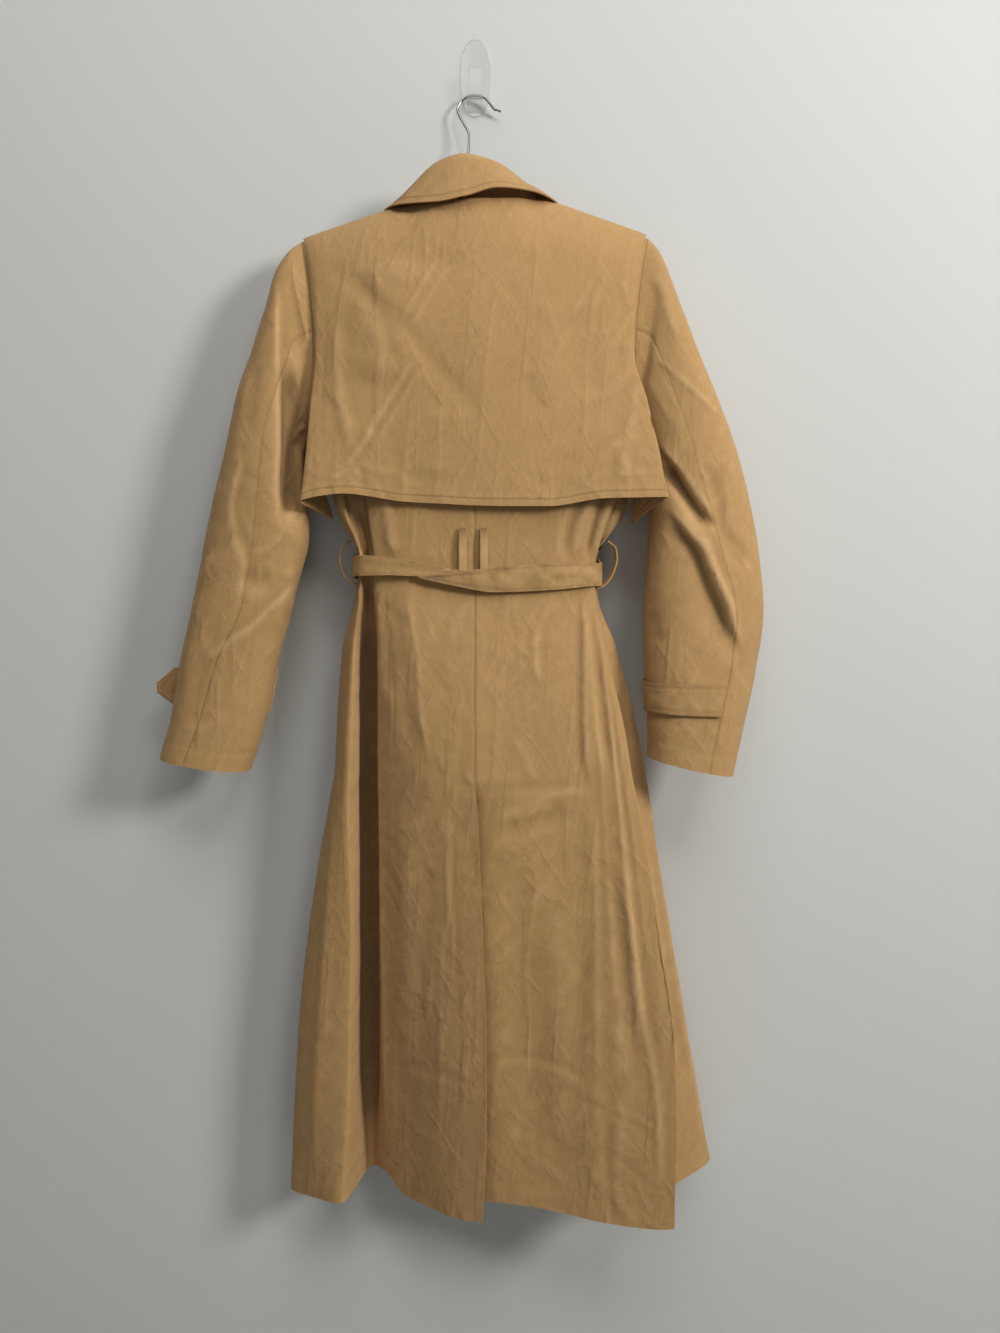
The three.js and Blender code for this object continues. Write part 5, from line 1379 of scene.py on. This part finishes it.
def makeButton():
    bpy.ops.object.select_all(action="DESELECT")
    bpy.ops.mesh.primitive_cylinder_add(vertices=48, radius=button["radius"], depth=button["thick"],
                                        location=(0, 0, button["thick"] / 2))
    piece = bpy.context.object
    bpy.ops.object.mode_set(mode="EDIT")
    bpy.ops.mesh.select_all(action="DESELECT")
    work = bmesh.from_edit_mesh(piece.data)
    for face in work.faces:
        face.select = face.normal.z > 0.9
    bmesh.update_edit_mesh(piece.data)
    bpy.ops.mesh.inset(thickness=button["rim"])
    bpy.ops.transform.translate(value=(0, 0, button["raised"]))
    bpy.ops.mesh.inset(thickness=button["slope"])
    bpy.ops.transform.translate(value=(0, 0, -button["dish"]))
    bpy.ops.object.mode_set(mode="OBJECT")
    bevel = piece.modifiers.new("edge", "BEVEL")
    bevel.width = button["soft"]
    bevel.segments = 2
    bpy.ops.object.modifier_apply(modifier="edge")
    holes = []
    for turn in range(4):
        angle = math.pi / 4 + turn * math.pi / 2
        away = button["holeAway"]
        bpy.ops.mesh.primitive_torus_add(major_radius=button["holeRing"], minor_radius=button["holeWire"],
                                         major_segments=16, minor_segments=8,
                                         location=(away * math.cos(angle), away * math.sin(angle), button["holeUp"]))
        holes.append(bpy.context.object)
    bpy.ops.object.select_all(action="DESELECT")
    for part in holes + [piece]:
        part.select_set(True)
    bpy.context.view_layer.objects.active = piece
    bpy.ops.object.join()
    bpy.ops.object.transform_apply(location=True, rotation=True, scale=True)
    return piece


firstButton = makeButton()
buttons = [firstButton] + [addObject("button", firstButton.data.copy()) for height in button["heights"][1:]]
for number, (piece, height) in enumerate(zip(buttons, button["heights"]), start=1):
    piece.name = "button%d" % number
    line = panelPoints(frontRight, np.linspace(0, 4, 90), [height + 4, height, height - 4], False)
    column = int(np.argmin(np.abs(line[1, :, 0] - button["x"])))
    outward = gridNormals(line)[1, column]
    alignTo(piece, outward, line[1, column] + outward * (button["gap"] + 0.9))
    settle(piece, buttonHorn, ["button_%d" % number])

eyelet = {"line": 5.35, "height": -545, "ring": 0.003, "wire": 0.0008, "gap": 1.4}
bpy.ops.object.select_all(action="DESELECT")
bpy.ops.mesh.primitive_torus_add(major_radius=eyelet["ring"], minor_radius=eyelet["wire"],
                                 major_segments=28, minor_segments=10)
eyeletRing = bpy.context.object
eyeletRing.name = "eyeletRing"
spot = panelPoints(backRight, [eyelet["line"] - 0.1, eyelet["line"], eyelet["line"] + 0.1],
                   [eyelet["height"] + 4, eyelet["height"], eyelet["height"] - 4], True)
outward = gridNormals(spot)[1, 1]
alignTo(eyeletRing, outward, spot[1, 1] + outward * eyelet["gap"])
settle(eyeletRing, eyeletMetal, ["eyelet"])
print("buttons and eyelet made")


# ---- hanger ----
def addRod(name, points, radius, material, nodes, fine=12):
    line = bpy.data.curves.new(name, "CURVE")
    line.dimensions = "3D"
    line.bevel_depth = radius * 0.001
    line.bevel_resolution = 5
    line.use_fill_caps = True
    path = line.splines.new("POLY")
    places = np.linspace(0, len(points) - 1, (len(points) - 1) * fine + 1)
    way = smoothWay(np.array(points, float), places) * 0.001
    path.points.add(len(way) - 1)
    for point, (x, off, z) in zip(path.points, way):
        point.co = (x, -off, z, 1)
    piece = addObject(name, line)
    pickOnly(piece)
    bpy.ops.object.convert(target="MESH")
    piece = bpy.context.object
    settle(piece, material, nodes, 45)


def smoothWay(points, places):  # Catmull-Rom through the points
    padded = np.concatenate([[2 * points[0] - points[1]], points, [2 * points[-1] - points[-2]]])
    i = np.minimum(places.astype(int), len(points) - 2)
    t = (places - i)[:, None]
    a, b, c, d = padded[i], padded[i + 1], padded[i + 2], padded[i + 3]
    return 0.5 * (2 * b + (c - a) * t + (2 * a - 5 * b + 4 * c - d) * t ** 2 + (3 * b - a - 3 * c + d) * t ** 3)


rod = {"radius": 4.5, "drop": 7.6, "off": 50.3, "end": 172}
armAt = lambda x: (x, rod["off"], float(topSeam(np.array(float(x)), False)) - rod["drop"])
armPoints = [armAt(-rod["end"]), armAt(-150), armAt(-120), armAt(-92), (-50, rod["off"], -160),
              (0, rod["off"], -154), (50, rod["off"], -157), armAt(92), armAt(120), armAt(150), armAt(rod["end"])]
addRod("hangerArms", armPoints, rod["radius"], hangerPlastic, ["hanger_arms"], 8)
hookPoints = [
    (30, 9, -39.5), (26, 9, -37.5), (22.5, 9.2, -37), (17, 9.3, -30.4), (10, 9.4, -23.9), (1, 9.4, -22.2),
    (-9, 9.5, -23.3),
    (-16, 10, -28.5), (-19.6, 11, -35), (-20.5, 12, -40), (-18, 14, -47), (-12.5, 17, -57), (-8, 19.5, -66),
    (-7, 22, -75), (-7.5, 29, -96), (-6.5, 38, -124), (-4, 45, -141), (-1, 49.5, -148.9),
]
addRod("hangerHook", hookPoints, 1.4, hookSteel, ["hanger_hook"], 8)
print("hanger made")


# ---- wall hook ----
plate = {"halfWide": 0.0176, "halfTall": 0.0425, "thick": 0.0026, "fullness": 0.87, "rim": 0.0016}
tongue = {"wideRoot": 0.018, "wideTop": 0.013, "rootTop": -0.024, "tipTop": 0.005}
tongueSide = [
    (1, -39), (4, -37.6), (9, -34.6), (13.5, -30.2), (17, -24), (19, -15), (20, -5), (20.4, 3), (19.6, 5), (18, 5.4),
    (17, 3.6), (16.6, -5), (15.8, -14), (14.2, -21.4), (12, -24.8), (9.4, -25.8), (6.8, -25), (4.4, -21.6), (1, -18),
]


def softenEdges(piece, width, degrees):
    soft = piece.modifiers.new("soft edge", "BEVEL")
    soft.width = width
    soft.segments = 3
    soft.limit_method = "ANGLE"
    soft.angle_limit = math.radians(degrees)
    bpy.ops.object.modifier_apply(modifier="soft edge")


def makeWallHook():
    bpy.ops.object.select_all(action="DESELECT")
    bpy.ops.mesh.primitive_circle_add(vertices=96, radius=1, fill_type="NGON", location=(0, 0, 0))
    base = bpy.context.object
    base.name = "wallHook"
    for vertex in base.data.vertices:  # an oval that is a little fuller than an ellipse
        a = math.atan2(vertex.co.y, vertex.co.x)
        full = lambda value: math.copysign(abs(value) ** plate["fullness"], value)
        vertex.co = (plate["halfWide"] * full(math.cos(a)), 0, plate["halfTall"] * full(math.sin(a)))
    bpy.ops.object.mode_set(mode="EDIT")
    bpy.ops.mesh.select_all(action="SELECT")
    bpy.ops.mesh.extrude_region_move(TRANSFORM_OT_translate={"value": (0, -plate["thick"], 0)})
    bpy.ops.mesh.inset(thickness=plate["rim"])
    bpy.ops.transform.translate(value=(0, 0.0005, 0))
    bpy.ops.mesh.select_all(action="SELECT")
    bpy.ops.mesh.normals_make_consistent(inside=False)
    bpy.ops.object.mode_set(mode="OBJECT")
    softenEdges(base, 0.0008, 30)

    mesh = bpy.data.meshes.new("tongue")
    side = np.array([(off, 0, z) for off, z in tongueSide], float)
    outline = smoothWay(side, np.linspace(0, len(side) - 1, 91))[:, [0, 2]]
    half = tongue["wideRoot"] / 2
    mesh.from_pydata([(-half, -off * 0.001, z * 0.001) for off, z in outline], [], [tuple(range(len(outline)))])
    hook = addObject("tongue", mesh)
    pickOnly(hook)
    bpy.ops.object.mode_set(mode="EDIT")
    bpy.ops.mesh.select_all(action="SELECT")
    bpy.ops.mesh.extrude_region_move(TRANSFORM_OT_translate={"value": (tongue["wideRoot"], 0, 0)})
    bpy.ops.mesh.select_all(action="SELECT")
    bpy.ops.mesh.normals_make_consistent(inside=False)
    bpy.ops.object.mode_set(mode="OBJECT")
    for vertex in hook.data.vertices:
        up = min(max((vertex.co.z - tongue["rootTop"]) / (tongue["tipTop"] - tongue["rootTop"]), 0), 1)
        vertex.co.x *= 1 + up * (tongue["wideTop"] / tongue["wideRoot"] - 1)
    softenEdges(hook, 0.0009, 50)
    joined = base.modifiers.new("one moulding", "BOOLEAN")
    joined.operation = "UNION"
    joined.object = hook
    pickOnly(base)
    bpy.ops.object.modifier_apply(modifier="one moulding")
    bpy.data.objects.remove(hook)
    settle(base, clearPlastic, ["wall_hook"], 40)


makeWallHook()
print("wall hook made")


# ---- room and light ----
room = {"wallColour": (0.60, 0.605, 0.58, 1), "floorColour": (0.34, 0.335, 0.32, 1), "floor": -1.8}


def makeRoomPaint(name, colour, oneSided):
    material, tree, shader = newMaterial(name)
    place = put(tree, "ShaderNodeTexCoord").outputs["Object"]
    noise = put(tree, "ShaderNodeTexNoise", {"Vector": place, "Scale": 260}).outputs["Fac"]
    bump = put(tree, "ShaderNodeBump", {"Height": noise, "Strength": 0.08, "Distance": 0.0004})
    fill(tree, shader, {"Base Color": colour, "Roughness": 0.85, "Specular IOR Level": 0.2,
                        "Normal": bump.outputs[0]})
    if oneSided:  # seen from behind, the wall isn't there
        back = put(tree, "ShaderNodeNewGeometry").outputs["Backfacing"]
        clear = put(tree, "ShaderNodeBsdfTransparent").outputs[0]
        blend = put(tree, "ShaderNodeMixShader", {0: back, 1: shader.outputs[0], 2: clear})
        fill(tree, tree.nodes["Material Output"], {"Surface": blend.outputs[0]})
    return material


def addSheet(name, corners, material):
    mesh = bpy.data.meshes.new(name)
    mesh.from_pydata(corners, [], [(0, 1, 2, 3)])
    mesh.materials.append(material)
    addObject(name, mesh)


floor = room["floor"]
addSheet("wall", [(-4, 0.0003, floor), (4, 0.0003, floor), (4, 0.0003, 2.4), (-4, 0.0003, 2.4)],
         makeRoomPaint("wall paint", room["wallColour"], True))
addSheet("floor", [(-4, -5, floor), (4, -5, floor), (4, 3, floor), (-4, 3, floor)],
         makeRoomPaint("floor paint", room["floorColour"], False))

lamps = {
    "window, right": {"place": (2.2, -1.75, 0.5), "aim": (0, 0, -0.6), "size": 0.7,
        "power": 58, "colour": (1.0, 0.985, 0.96)},
    "lamp above": {"place": (0.95, -2.1, 1.35), "aim": (0, 0, -0.6), "size": 0.7,
        "power": 14, "colour": (1.0, 0.98, 0.95)},
    "ceiling": {"place": (0.1, -1.5, 1.9), "aim": (0, -0.1, -0.7), "size": 1.9,
        "power": 34, "colour": (0.98, 0.99, 1.0)},
    "fill": {"place": (-0.6, -3.2, -0.3), "aim": (0, 0, -0.7), "size": 2.6,
        "power": 7, "colour": (0.97, 0.985, 1.0)},
    "behind": {"place": (-1.2, 2.2, 0.6), "aim": (0, 0, -0.7), "size": 1.8,
        "power": 22, "colour": (1.0, 1.0, 1.0)},
}
for name, lamp in lamps.items():
    data = bpy.data.lights.new(name, "AREA")
    data.shape = "DISK"
    data.size = lamp["size"]
    data.energy = lamp["power"]
    data.color = lamp["colour"]
    light = bpy.data.objects.new(name, data)
    light.location = lamp["place"]
    light.rotation_euler = (Vector(lamp["aim"]) - Vector(lamp["place"])).to_track_quat("-Z", "Y").to_euler()
    bpy.context.scene.collection.objects.link(light)

world = bpy.data.worlds.new("soft room light")
bpy.context.scene.world = world
world.use_nodes = True
world.node_tree.nodes["Background"].inputs["Color"].default_value = (0.93, 0.96, 1.0, 1)
world.node_tree.nodes["Background"].inputs["Strength"].default_value = 0.07
bpy.context.scene.view_settings.view_transform = "Standard"
print("room and light made")
